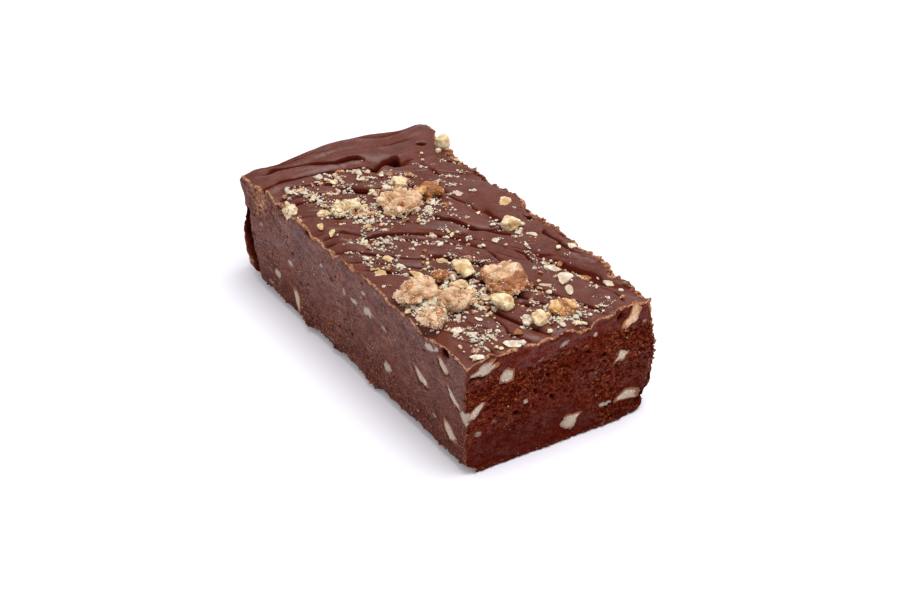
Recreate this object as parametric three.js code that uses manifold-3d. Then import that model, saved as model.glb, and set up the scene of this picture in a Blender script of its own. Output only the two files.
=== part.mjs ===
// A bar of chocolate walnut fudge, cut from a slab: a long block of fudge with a spread top, chopped walnuts
// and crumbs pressed into the top, and walnut pieces sliced through where the knife met them.
// Millimetres, +Z up. The bar lies along X and rests on its flat base; its near end is at +X and its long
// cut face at -Y. Positions on the bar are measured from the middle of the bar's own length and width, and
// the whole is set off by `barMiddle` so that the origin is the middle of everything's footprint.
import * as THREE from "three";
import { mergeVertices } from "three/addons/utils/BufferGeometryUtils.js";
import Module from "manifold-3d";

const wasm = await Module();
wasm.setup();

// ---- Driving sizes ----
const length = 102;
const width = 50;
const height = 29.3;
const barMiddle = { x: 1.6, y: -0.5 };
const gridStep = 2.7; // the size of one facet of the block's skin
const gap = 0.4; // between a walnut piece and the pocket it sits in
const edgeRadius = { front: 3, back: 6.5, end: 0.8 }; // how round the bottom edges are

// The top was spread in strokes that fan out: across the bar at its far end, nearly along it at its near
// end. The turns are in degrees from the bar's length, at places along the bar.
const strokes = { spacing: 4.6, run: 38, depth: 1.25, wander: 2.2 };
const strokeTurns = { at: [-60, -45, -30, -10, 0, 25, 60], turn: [87, 85, 70, 55, 45, 28, 25] };

// Nicks in the two cut edges of the top: where along the edge, how deep and how wide.
const frontNicks = [
  { at: -48, depth: 0.9, wide: 5 },
  { at: -17, depth: 0.9, wide: 4 },
  { at: -9, depth: 1.7, wide: 4 },
  { at: 22, depth: 0.6, wide: 3 },
  { at: 33, depth: 1.9, wide: 5 },
];
const endNicks = [
  { at: -8, depth: 0.5, wide: 3 },
  { at: 0, depth: 0.5, wide: 2 },
  { at: 5.5, depth: 2.3, wide: 2.6 },
  { at: 20, depth: -0.5, wide: 6 },
];
// Hollows (and, with a depth below zero, swellings) in the top: half sizes along and across their turn.
const hollows = [
  { x: -36.5, y: 7.5, along: 5, across: 2.4, turn: -58, depth: 4.2 },
  { x: -38.5, y: -2, along: 3, across: 2.2, turn: 30, depth: 0.8 },
  { x: -30, y: -5.5, along: 4, across: 2.5, turn: 60, depth: 1.2 },
  { x: -12, y: 17, along: 8, across: 6, turn: 10, depth: -0.5 },
  { x: -5, y: 4.5, along: 6, across: 2.6, turn: 35, depth: -0.8 },
  { x: 2, y: 3, along: 8, across: 1.6, turn: 45, depth: 0.9 },
  { x: -50, y: 2, along: 9, across: 7, turn: 90, depth: -1.1 },
  { x: -48, y: 23, along: 6, across: 5, turn: 0, depth: -1.2 },
  { x: -50, y: -16, along: 7, across: 5, turn: 90, depth: 0.5 },
];
// At the far front corner a crack runs down behind the cut face, from under the top's lip to the base, and
// the crumbly lump beyond it stands back a little and bulges out at the far end.
const crack = { top: 21, topX: -48.8, footX: -43.8, mouth: 2.8, depth: 6, setBack: 0.9 };
// The back swells towards the near end, and the near end's foot spreads a little.
const backSwell = { x: 47, wide: 14, height: 13, thick: 8, out: 1.8 };
const endFoot = { out: 1.1, thick: 2.2 };
const farLip = { height: 26.5, out: 2.8, thick: 3.2 };
const farBulge = { height: 10, out: 4.2, thick: 8, y: -22, wide: 12 };

// Walnut pieces lying in the top: middle, length, breadth, height, turn and the seed of its shape.
const toppings = [
  { x: 27.3, y: 0.3, size: [14.2, 10, 4.7], turn: -35, seed: 3 },
  { x: 18.9, y: -5.2, size: [8.6, 4.6, 3.4], turn: -12, seed: 5 },
  { x: 35.2, y: -4.7, size: [7.2, 4.2, 3.2], turn: 35, seed: 8 },
  { x: 44.6, y: 4.4, size: [7.4, 6, 3.8], turn: 20, seed: 11 },
  { x: 45.6, y: -2.2, size: [5, 4.2, 3.4], turn: -40, seed: 14 },
  { x: 21.8, y: -19.7, size: [13.2, 7, 4.6], turn: -57, seed: 17 },
  { x: 29.2, y: -13.8, size: [9.6, 7.6, 4.2], turn: -55, seed: 20 },
  { x: 32.8, y: -21.9, size: [9.5, 6.2, 4.4], turn: 50, seed: 23 },
  { x: -25.3, y: 4.2, size: [5.4, 4.4, 2.8], turn: 50, seed: 26 },
  { x: -17.1, y: 7.7, size: [8, 5, 3.8], turn: 50, seed: 29 },
  { x: -14.7, y: -1.7, size: [12, 10, 4], turn: 50, seed: 32 },
  { x: -21.4, y: -14.1, size: [10.2, 5, 3.6], turn: -45, seed: 35 },
  { x: 6.4, y: 16, size: [6.6, 4.4, 3], turn: -40, seed: 38 },
  { x: -36.9, y: 23.9, size: [4.6, 4.2, 4.8], turn: 10, seed: 41 },
  { x: 18.2, y: -11.2, size: [6.2, 3.6, 3], turn: 58, seed: 83 },
  { x: 23.8, y: -9.3, size: [5.4, 3.2, 2.4], turn: 55, seed: 86 },
];
// Walnut pieces cut through by the knife: on the long front face (x, height) or the near end (y, height),
// with their length and breadth in the face, their depth behind it and their turn in it.
const sliced = [
  { face: "front", at: [41.6, 23.6], size: [5.6, 3, 4], turn: -38, seed: 44 },
  { face: "front", at: [32.3, 15.4], size: [9, 2.8, 4], turn: -22, seed: 247 },
  { face: "front", at: [45.6, 17.4], size: [6.4, 2.8, 4], turn: -38, seed: 50 },
  { face: "front", at: [44.2, 7.6], size: [7.2, 3.6, 4], turn: -42, seed: 353 },
  { face: "front", at: [-25.8, 5.6], size: [7.4, 2.8, 4], turn: -72, seed: 356 },
  { face: "front", at: [-31.2, 27.8], size: [7, 4.6, 6], turn: -38, seed: 59 },
  { face: "end", at: [-20.4, 26.2], size: [7.6, 2.9, 4], turn: 18, seed: 62 },
  { face: "end", at: [-14.3, 22.6], size: [3.9, 3.1, 3.6], turn: 20, seed: 65 },
  { face: "end", at: [-22, 16], size: [5.4, 2.4, 3.2], turn: 44, seed: 68 },
  { face: "end", at: [17, 16.9], size: [5.6, 2.8, 4], turn: 24, seed: 71 },
  { face: "end", at: [3.7, 4.2], size: [6, 4, 4], turn: 34, seed: 74 },
  { face: "end", at: [18.3, 5.6], size: [7, 3.4, 4], turn: 12, seed: 77 },
  { face: "end", at: [19, 26.6], size: [7.4, 3.8, 4], turn: 48, seed: 80 },
];
// Chopped crumbs fused to the top: each drift of them has a middle, a spread, a count and a crumb size.
const drifts = [
  { x: -29, y: -1, spread: [7, 6], count: 10, size: 1.9 },
  { x: -30, y: -15, spread: [6, 5], count: 8, size: 2 },
  { x: -12, y: -13, spread: [8, 6], count: 9, size: 2 },
  { x: -15, y: 14, spread: [12, 7], count: 9, size: 1.7 },
  { x: 5, y: -17, spread: [8, 6], count: 10, size: 2.3 },
  { x: 4, y: 6, spread: [7, 7], count: 7, size: 1.6 },
  { x: 31, y: 15, spread: [13, 6], count: 14, size: 2.4 },
  { x: 40, y: -13, spread: [8, 9], count: 12, size: 2 },
  { x: 24, y: -8, spread: [11, 9], count: 8, size: 1.8 },
];

// ---- Small mathematics ----
const radians = (degrees) => (degrees * Math.PI) / 180;
const hash = (i, j, k = 0) => {
  const v = Math.sin(i * 127.1 + j * 311.7 + k * 74.7) * 43758.5453;
  return v - Math.floor(v);
};
const fade = (t) => t * t * (3 - 2 * t);
const ease = (from, to, v) => fade(THREE.MathUtils.clamp((v - from) / (to - from), 0, 1));
const bell = (v) => Math.exp(-v * v);

// Smooth noise from 0 to 1 over a square lattice.
function noise(u, v, seed) {
  const i = Math.floor(u);
  const j = Math.floor(v);
  const s = fade(u - i);
  const t = fade(v - j);
  const low = THREE.MathUtils.lerp(hash(i, j, seed), hash(i + 1, j, seed), s);
  const high = THREE.MathUtils.lerp(hash(i, j + 1, seed), hash(i + 1, j + 1, seed), s);
  return THREE.MathUtils.lerp(low, high, t);
}
const rough = (u, v, seed) => noise(u, v, seed) - 0.5;

// ---- The strokes ----
// Their turn at a place along the bar.
function turnAt(x) {
  const { at, turn } = strokeTurns;
  const k = at.findIndex((place, i) => i > 0 && (place >= x || i === at.length - 1));
  const within = THREE.MathUtils.clamp(x, at[k - 1], at[k]);
  return THREE.MathUtils.mapLinear(within, at[k - 1], at[k], turn[k - 1], turn[k]);
}

// One stroke's curve, summed in small steps along the bar: how far it has risen, and how far apart the
// strokes beside it lie. Every other stroke is the same curve shifted.
const curve = { from: -90, step: 0.1, rise: [0], across: [0] };
for (let x = curve.from; x < 180; x += curve.step) {
  const turn = radians(turnAt(x));
  curve.rise.push(curve.rise.at(-1) + Math.tan(turn) * curve.step);
  curve.across.push(curve.across.at(-1) + Math.sin(turn) * curve.step);
}

// The value of one of the curve's lists at a place between two of its steps.
function along(list, place) {
  const i = THREE.MathUtils.clamp(Math.floor(place), 0, list.length - 2);
  return THREE.MathUtils.lerp(list[i], list[i + 1], place - i);
}

// The place along the curve where it has risen this far.
function placeOf(rise) {
  let low = 0;
  let high = curve.rise.length - 1;
  while (high - low > 1) {
    const middle = (low + high) >> 1;
    if (curve.rise[middle] > rise) high = middle;
    else low = middle;
  }
  return low + (rise - curve.rise[low]) / (curve.rise[high] - curve.rise[low]);
}

// How far a point of the plan lies across the strokes and along its own.
function stroke(x, y) {
  const start = placeOf(along(curve.rise, (x - curve.from) / curve.step) - y);
  const startX = curve.from + start * curve.step;
  return [along(curve.across, start), Math.sign(y) * Math.hypot(x - startX, y)];
}

// ---- The block's skin ----
// The top's height at a point of the plan.
function topHeight(x, y) {
  const [crossed, run] = stroke(x, y);
  const across = crossed + strokes.wander * rough(x / 13, y / 13, 21);
  const ridge = Math.abs(2 * noise(across / strokes.spacing, run / strokes.run, 11) - 1) ** 0.8;
  const strength = 0.55 + 0.45 * ease(5, -35, x) - 0.35 * bell(Math.hypot((x + 11) / 9, (y - 16) / 7));
  let z = height + strength * strokes.depth * (ridge - 0.45) + 0.5 * rough(x / 11, y / 11, 2);
  for (const h of hollows) {
    const c = Math.cos(radians(h.turn));
    const s = Math.sin(radians(h.turn));
    const u = ((x - h.x) * c + (y - h.y) * s) / h.along;
    const v = (-(x - h.x) * s + (y - h.y) * c) / h.across;
    z -= h.depth * bell(Math.hypot(u, v));
  }
  const fromFront = (y + width / 2) / 2.2;
  const fromEnd = (length / 2 - x) / 2.2;
  for (const n of frontNicks) z -= n.depth * bell((x - n.at) / n.wide) * bell(fromFront);
  for (const n of endNicks) z -= n.depth * bell((y - n.at) / n.wide) * bell(fromEnd);
  const fromBack = (width / 2 - y) / 1.4;
  return z - 0.5 * bell(fromFront) - 0.3 * bell(fromEnd) - 0.6 * bell(fromBack);
}

// How far each upright face stands out from its plane.
function frontOut(x, z) {
  const edge = THREE.MathUtils.mapLinear(z, 0, crack.top, crack.footX, crack.topX);
  const below = 1 - ease(crack.top - 1.5, crack.top + 1.5, z);
  return 0.3 * rough(x / 9, z / 7, 3) - below * ease(0, 1, edge - x) * crack.setBack;
}
function endOut(y, z) {
  const corner = 0.9 * ease(width / 2 - 2.4, width / 2, y);
  const foot = endFoot.out * bell(z / endFoot.thick);
  return 0.5 * rough(y / 5, z / 4, 4) + 0.4 * rough(y / 2.6, z / 2.6, 5) + foot - corner;
}
function backOut(x, z) {
  const level = bell((z - backSwell.height) / backSwell.thick);
  const swell = backSwell.out * level * bell((x - backSwell.x) / backSwell.wide);
  return swell + 0.9 * rough(x / 5, z / 5, 6) + 0.9 * rough(x / 2.5, z / 2.5, 7);
}
function farOut(y, z) {
  const lip = farLip.out * bell((z - farLip.height) / farLip.thick) * (1 - ease(-20, 24, y));
  const level = bell((z - farBulge.height) / farBulge.thick);
  const bulge = farBulge.out * level * bell((y - farBulge.y) / farBulge.wide);
  return lip + bulge - 2 * ease(10, 25, y) + 1.2 * rough(y / 5, z / 4, 8);
}

// A square corner pushed onto its round: d is the distance in from the side, h the height.
function rounded(d, h, radius) {
  const p = Math.max(0, radius - d);
  const q = Math.max(0, radius - h);
  if (p === 0 || q === 0) return [d, h];
  const shrink = Math.max(p, q) / Math.hypot(p, q);
  return [radius - p * shrink, radius - q * shrink];
}

// A point of the plain box's skin, carried onto the fudge's.
function onFudge(point) {
  let { x, y, z } = point;
  const side = y < 0 ? -1 : 1;
  const [inY, upY] = rounded(width / 2 - Math.abs(y), z, side < 0 ? edgeRadius.front : edgeRadius.back);
  const [inX, upX] = rounded(length / 2 - Math.abs(x), upY, edgeRadius.end);
  const planX = Math.sign(x) * (length / 2 - inX);
  const planY = side * (width / 2 - inY);
  const top = topHeight(planX, planY);
  const reach = 5;
  const near = bell((length / 2 - x) / reach) * endOut(y, z);
  const far = bell((length / 2 + x) / reach) * farOut(y, z);
  const front = bell((width / 2 + y) / reach) * frontOut(x, z);
  const back = bell((width / 2 - y) / reach) * backOut(x, z);
  x = planX + near - far;
  y = planY - front + back;
  z = upX * (1 + (top / height - 1) * (upX / height));
  return point.set(x, y, z);
}

// ---- Solids ----
// The same surface with positions alone, so that its triangles share their corners.
function bare(geometry) {
  const g = geometry.clone();
  g.deleteAttribute("normal");
  g.deleteAttribute("uv");
  return mergeVertices(g, 1e-4);
}

function solidOf(geometry) {
  const merged = bare(geometry);
  return new wasm.Manifold(
    new wasm.Mesh({
      numProp: 3,
      vertProperties: merged.getAttribute("position").array,
      triVerts: new Uint32Array(merged.index.array),
    }),
  );
}

function meshOf(name, solid, material) {
  const made = solid.getMesh();
  const places = new Float32Array(made.numVert * 3);
  for (let i = 0; i < made.numVert; i++)
    places.set(made.vertProperties.subarray(i * made.numProp, i * made.numProp + 3), i * 3);
  const geometry = new THREE.BufferGeometry();
  geometry.setAttribute("position", new THREE.BufferAttribute(places, 3));
  geometry.setIndex(new THREE.BufferAttribute(made.triVerts, 1));
  geometry.computeVertexNormals();
  const mesh = new THREE.Mesh(geometry, material);
  mesh.name = name;
  return mesh;
}

function block() {
  const cells = (size) => Math.round(size / gridStep);
  const g = new THREE.BoxGeometry(length, width, height, cells(length), cells(width), cells(height));
  g.translate(0, 0, height / 2);
  const places = g.getAttribute("position");
  const p = new THREE.Vector3();
  for (let i = 0; i < places.count; i++) {
    onFudge(p.fromBufferAttribute(places, i));
    places.setXYZ(i, p.x, p.y, p.z);
  }
  return solidOf(g);
}

// A broken piece of walnut kernel: a lumpy ball with a few flat breaks, scaled to its three sizes.
function kernel([long, broad, high], seed, detail) {
  const g = bare(new THREE.IcosahedronGeometry(1, detail));
  const places = g.getAttribute("position");
  const p = new THREE.Vector3();
  const either = (k, n) => hash(seed, k, n) - 0.5;
  const breaks = [0, 1, 2, 3, 4].map((k) => ({
    face: new THREE.Vector3(either(k, 1), either(k, 2), either(k, 3)).normalize(),
    reach: 0.62 + 0.25 * hash(seed, k, 4),
  }));
  const out = (n) => {
    const lump = 0.8 + 0.45 * noise(n.x * 1.7 + 5, n.y * 1.7 + 5 + n.z * 1.3, seed);
    return breaks.reduce((r, b) => (n.dot(b.face) > 0.05 ? Math.min(r, b.reach / n.dot(b.face)) : r), lump);
  };
  for (let i = 0; i < places.count; i++) {
    p.fromBufferAttribute(places, i);
    p.multiplyScalar(out(p));
    places.setXYZ(i, p.x, p.y, p.z);
  }
  g.computeBoundingBox();
  const middle = g.boundingBox.getCenter(new THREE.Vector3());
  const size = g.boundingBox.getSize(new THREE.Vector3());
  g.translate(-middle.x, -middle.y, -middle.z);
  return g.scale(long / size.x, broad / size.y, high / size.z);
}

// The same solid with every face moved outwards, and its sharpest tips cut short.
function swollen(g, by) {
  g.computeVertexNormals();
  const places = g.getAttribute("position");
  const outward = g.getAttribute("normal");
  const corners = [new THREE.Vector3(), new THREE.Vector3(), new THREE.Vector3()];
  const face = new THREE.Vector3();
  const n = new THREE.Vector3();
  const lean = new Array(places.count).fill(1);
  for (let t = 0; t < g.index.count; t += 3) {
    corners.forEach((corner, k) => corner.fromBufferAttribute(places, g.index.getX(t + k)));
    THREE.Triangle.getNormal(...corners, face);
    for (const i of [0, 1, 2].map((k) => g.index.getX(t + k)))
      lean[i] = Math.min(lean[i], face.dot(n.fromBufferAttribute(outward, i)));
  }
  lean.forEach((least, i) => {
    n.fromBufferAttribute(outward, i).multiplyScalar(by / Math.max(least, 0.35));
    places.setXYZ(i, places.getX(i) + n.x, places.getY(i) + n.y, places.getZ(i) + n.z);
  });
  return g;
}

// A topping lies turned in the plan, sunk by a fifth of its height.
function laid(piece, grown) {
  const g = swollen(kernel(piece.size, piece.seed, 1), grown);
  g.rotateZ(radians(piece.turn));
  return g.translate(piece.x, piece.y, topHeight(piece.x, piece.y) + piece.size[2] * 0.3);
}

// A sliced piece lies turned in its face, with most of its depth behind the face.
function inlaid(piece, grown) {
  const [along, up, deep] = piece.size;
  const g = swollen(kernel([along, deep, up], piece.seed, 0), grown);
  g.rotateY(radians(-piece.turn));
  const [place, level] = piece.at;
  if (piece.face === "front") return g.translate(place, -width / 2 + 0.8, level);
  g.rotateZ(Math.PI / 2);
  return g.translate(length / 2 - 0.8, place, level);
}

function crumb(drift, i) {
  const turn = 2 * Math.PI * hash(i, drift.x, 1);
  const out = Math.sqrt(hash(i, drift.x, 2));
  const x = drift.x + drift.spread[0] * out * Math.cos(turn);
  const y = drift.y + drift.spread[1] * out * Math.sin(turn);
  const size = drift.size * (0.55 + 0.7 * hash(i, drift.x, 3));
  const g = new THREE.IcosahedronGeometry(size / 2, 0);
  g.scale(1.15, 0.85, 0.7);
  g.rotateX(0.5 * hash(i, drift.x, 4));
  g.rotateZ(6 * hash(i, drift.x, 5));
  return g.translate(x, y, topHeight(x, y) + size * 0.1);
}

// The crack is a thin wedge, sharp along its bottom edge inside the bar, that leans with the cut face's end.
function crackWedge() {
  const plan = new THREE.Shape();
  plan.moveTo(0, -1);
  plan.lineTo(-crack.mouth * 0.45, crack.depth);
  plan.lineTo(-crack.mouth, -1);
  plan.closePath();
  const g = new THREE.ExtrudeGeometry(plan, { depth: crack.top + 1, bevelEnabled: false });
  const lean = (crack.topX - crack.footX) / crack.top;
  g.applyMatrix4(new THREE.Matrix4().makeShear(0, 0, 0, 0, lean, 0));
  return g.translate(crack.footX - lean, -width / 2, -1);
}

// The biggest body of a solid, without the scraps that a cut may leave.
const biggest = (solid) => solid.decompose().reduce((a, b) => (b.volume() > a.volume() ? b : a));

const fudgeBrown = new THREE.MeshStandardMaterial({ color: 0x5e2f26, roughness: 0.5, metalness: 0 });
const walnutCream = new THREE.MeshStandardMaterial({ color: 0xd9b98a, roughness: 0.6, metalness: 0 });

const bar = new THREE.Group();
bar.position.set(barMiddle.x, barMiddle.y, 0);
const whole = block().subtract(solidOf(crackWedge()));
let fudge = whole;
for (const drift of drifts)
  for (let i = 0; i < drift.count; i++) fudge = fudge.add(solidOf(crumb(drift, i)));
toppings.forEach((piece, i) => {
  fudge = fudge.subtract(solidOf(laid(piece, gap)));
  bar.add(meshOf(`walnut_topping_${i + 1}`, solidOf(laid(piece, 0)), walnutCream));
});
sliced.forEach((piece, i) => {
  fudge = fudge.subtract(solidOf(inlaid(piece, gap)));
  bar.add(meshOf(`walnut_slice_${i + 1}`, biggest(solidOf(inlaid(piece, 0)).intersect(whole)), walnutCream));
});
bar.add(meshOf("fudge", biggest(fudge), fudgeBrown));

const part = new THREE.Group();
part.add(bar);
export default part;
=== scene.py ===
# %% [markdown]
# # A bar of walnut fudge
# A bar of chocolate fudge, cut from a slab with a knife. Its top was spread with a spatula and strewn with
# chopped walnuts, and the knife went through the walnut pieces that lie inside it. The solids of the bar and
# of its larger nuts come from the frame, in metres, with +Z up and the bar lying along X. This lesson gives
# each of them a fine surface and a finish, and adds the crumbs that are too small for the solids.

import math

import bmesh
import bpy
import numpy as np
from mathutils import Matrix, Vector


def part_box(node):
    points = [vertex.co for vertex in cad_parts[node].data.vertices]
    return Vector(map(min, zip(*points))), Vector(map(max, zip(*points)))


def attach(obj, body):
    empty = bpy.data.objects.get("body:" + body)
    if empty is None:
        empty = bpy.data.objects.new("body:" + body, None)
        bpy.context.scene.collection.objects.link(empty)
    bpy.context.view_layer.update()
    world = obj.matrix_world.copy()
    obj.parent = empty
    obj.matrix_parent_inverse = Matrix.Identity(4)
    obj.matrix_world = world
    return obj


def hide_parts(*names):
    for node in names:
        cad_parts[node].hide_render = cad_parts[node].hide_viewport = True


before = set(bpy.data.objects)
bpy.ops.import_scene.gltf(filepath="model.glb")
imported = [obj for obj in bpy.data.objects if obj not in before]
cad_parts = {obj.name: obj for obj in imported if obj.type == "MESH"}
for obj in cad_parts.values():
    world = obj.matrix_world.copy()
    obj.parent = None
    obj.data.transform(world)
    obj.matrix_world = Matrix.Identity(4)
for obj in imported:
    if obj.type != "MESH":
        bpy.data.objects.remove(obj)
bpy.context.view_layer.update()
MM = 0.001

# %% [markdown]
# ## The bar's own measures
# The bar is 102 mm long, 50 mm wide and 29 mm high. The frame's origin is the middle of everything's
# footprint, and the bar's own middle lies a little off it, because the far end bulges. All that follows is
# worked out in millimetres from the bar's middle, which keeps the numbers easy to read, and only the last
# step of making a mesh moves it and turns it into metres.

# %% The bar's measures
LENGTH, WIDTH, HEIGHT = 102.0, 50.0, 29.3
BAR_MIDDLE = np.array([1.6, -0.5, 0.0])
print("bar:", LENGTH, "x", WIDTH, "x", HEIGHT, "mm")

# %% [markdown]
# ## Camera
# The camera stands off the bar's near front corner and looks down at it by about 32 degrees, from half a
# metre away. A long lens keeps the bar's edges almost parallel. Working the place out from an angle, a
# height and a distance says more than three bare coordinates would.

# %% Camera
TURN, TILT, DISTANCE = math.radians(57.862), math.radians(31.577), 533.58
AIM = np.array([6.778, -1.324, 14.64]) + BAR_MIDDLE


def put(name, data):
    """Adds an object to the scene."""
    made = bpy.data.objects.new(name, data)
    bpy.context.collection.objects.link(made)
    return made


lens = bpy.data.cameras.new("camera")
lens.lens, lens.sensor_width, lens.clip_start = 90, 36, 0.01
camera = put("camera", lens)
back = np.array([math.sin(TURN) * math.cos(TILT), -math.cos(TURN) * math.cos(TILT), math.sin(TILT)])
camera.location = (AIM + back * DISTANCE) * MM
camera.rotation_euler = (math.pi / 2 - TILT, 0, TURN)
bpy.context.scene.camera = camera
print("camera at", tuple(round(v, 4) for v in camera.location))

# %% [markdown]
# ## Noise
# Food is uneven everywhere, and all of that unevenness here comes from a few kinds of noise. A lattice of
# random numbers, smoothly blended, gives soft lumps. Written with arrays, it is worked out for a hundred
# thousand points at once, and each place that uses it has a seed of its own.


# %% Noise
def hashed(i, j, k=0):
    """A random-looking number from 0 to 1 for each lattice point."""
    v = np.sin(i * 127.1 + j * 311.7 + k * 74.7) * 43758.5453
    return v - np.floor(v)


def fade(t):
    """Turns a straight rise from 0 to 1 into a smooth one."""
    return t * t * (3 - 2 * t)


def noise(u, v, seed):
    """Smooth noise from 0 to 1 over a plane."""
    i, j = np.floor(u), np.floor(v)
    s, t = fade(u - i), fade(v - j)
    low = hashed(i, j, seed) * (1 - s) + hashed(i + 1, j, seed) * s
    high = hashed(i, j + 1, seed) * (1 - s) + hashed(i + 1, j + 1, seed) * s
    return low * (1 - t) + high * t


def noise3(p, seed):
    """Smooth noise from 0 to 1 in space."""
    k = np.floor(p[:, 2])
    t = fade(p[:, 2] - k)
    low = noise(p[:, 0] + 57.3 * k, p[:, 1] + 31.9 * k, seed)
    high = noise(p[:, 0] + 57.3 * (k + 1), p[:, 1] + 31.9 * (k + 1), seed)
    return low * (1 - t) + high * t


def rough(u, v, seed, layers=1):
    """Noise about zero, with finer and weaker layers added."""
    return sum((noise(u * 2**n, v * 2**n, seed + 9 * n) - 0.5) / 2**n for n in range(layers))


print("noise at a few points:", noise(np.arange(3) * 0.7, np.arange(3) * 0.3, 1).round(3))

# %% [markdown]
# ## Pebbles and masks
# A second kind of noise gives pebbles and crumbs: centres are scattered in space, and every point asks which
# of them is nearest. `bell` and `ease` are the two soft masks that say where a feature starts and stops.


# %% Pebbles and masks
def pebbles(p, seed):
    """For points in space: the distances to the nearest and the next scattered centre, and its number."""
    cell = np.floor(p)
    nearest, second, number = np.full(len(p), 9.0), np.full(len(p), 9.0), np.zeros(len(p))
    for step in np.ndindex(3, 3, 3):
        i, j, k = (cell + np.array(step) - 1).T
        jitter = [hashed(i + 57.3 * k, j + 31.9 * k, seed + n) for n in range(4)]
        away = np.linalg.norm(np.stack([i, j, k], axis=1) + np.stack(jitter[:3], axis=1) - p, axis=1)
        closer = away < nearest
        second = np.where(closer, nearest, np.minimum(second, away))
        number = np.where(closer, jitter[3], number)
        nearest = np.minimum(nearest, away)
    return nearest, second, number


def bell(v):
    """1 at zero, falling to nothing at about 2 to either side."""
    return np.exp(-v * v)


def ease(start, end, v):
    """0 before the start, 1 past the end, and a smooth rise between; the end may lie below the start."""
    return fade(np.clip((v - start) / (end - start), 0, 1))


print("bell and ease at 0, 0.5 and 1:", bell(np.arange(3) / 2).round(2), ease(0, 1, np.arange(3) / 2))

# %% [markdown]
# ## The strokes of the spatula
# The top was spread in sweeping strokes that fan out: at the far end they run across the bar, and towards
# the near end they swing round to run nearly along it. Each point of the top is given two numbers, how far
# it lies across the strokes and how far along them. To find them, a stroke's slope is added up along the
# bar, which gives the curve of one stroke, and every other stroke is that curve shifted.

# %% The strokes
STROKE_X = [-60, -45, -30, -10, 0, 25, 60]
STROKE_ANGLE = [87, 85, 70, 55, 45, 28, 25]
line_x = np.linspace(-90, 180, 5401)
line_angle = np.radians(np.interp(line_x, STROKE_X, STROKE_ANGLE))
line_step = line_x[1] - line_x[0]
line_rise = np.cumsum(np.tan(line_angle)) * line_step
line_across = np.cumsum(np.sin(line_angle)) * line_step


def stroke(x, y):
    """(mm across the strokes, mm along them) for points of the top."""
    start = np.interp(np.interp(x, line_x, line_rise) - y, line_rise, line_x)
    return np.interp(start, line_x, line_across), np.sign(y) * np.hypot(x - start, y)


print("strokes across the far end and the near end:", stroke(np.array([-45.0, 45.0]), np.zeros(2))[0])

# %% [markdown]
# ## Hollows and nicks
# On the top lie single features that the eye knows the bar by: a deep dimple near the far end, a few small
# pits and a smooth swelling. A hollow is an oval bell, and a swelling is a hollow with a depth below zero.
# Along the cut edges the knife left nicks. All of them are short lists of places and sizes.

# %% Hollows and nicks
# Hollows, and swellings with a depth below zero: middle, half sizes, turn in degrees, depth.
HOLLOWS = [
    (-36.4, 8.4, 4.0, 2.4, 74, 2.6), (-38.6, -2.4, 1.3, 0.6, 10, 1.3), (-29.6, -5.6, 3.6, 1.3, 42, 1.7),
    (-41.2, 20, 1.1, 0.6, 60, 1.0), (-43.6, -4, 9.0, 1.5, 74, 0.7), (-41, -17, 7.0, 1.3, 86, 0.8),
    (-12, 17, 8, 6, 10, -0.6), (-48, 23, 6, 5, 0, -1.6), (-50, -16, 7, 5, 90, 0.7),
    (-31.3, -24.2, 3.6, 2.4, 0, 1.3), (-4.5, 5.0, 6.5, 2.4, 38, -0.9), (-50, 2, 9, 7, 90, -1.2),
    (37.6, -0.6, 1.6, 0.7, 20, 1.3), (4.2, 23.0, 1.6, 0.9, 0, 1.6), (-29.4, 22.6, 1.5, 0.9, 20, 1.4),
    (47.0, -0.4, 1.4, 0.6, 10, 0.8),
]
# Nicks in the cut edges: where along the edge, how deep and how wide.
FRONT_NICKS = [(-48, 0.9, 5), (-17, 0.9, 4), (-9, 1.7, 4), (22, 0.6, 3), (33, 1.9, 5)]
END_NICKS = [(-8, 0.5, 3), (0, 0.5, 2), (5.5, 2.3, 2.6), (20, -0.5, 6), (24.6, -0.8, 1.4)]
print(len(HOLLOWS), "hollows and", len(FRONT_NICKS) + len(END_NICKS), "nicks")
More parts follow.
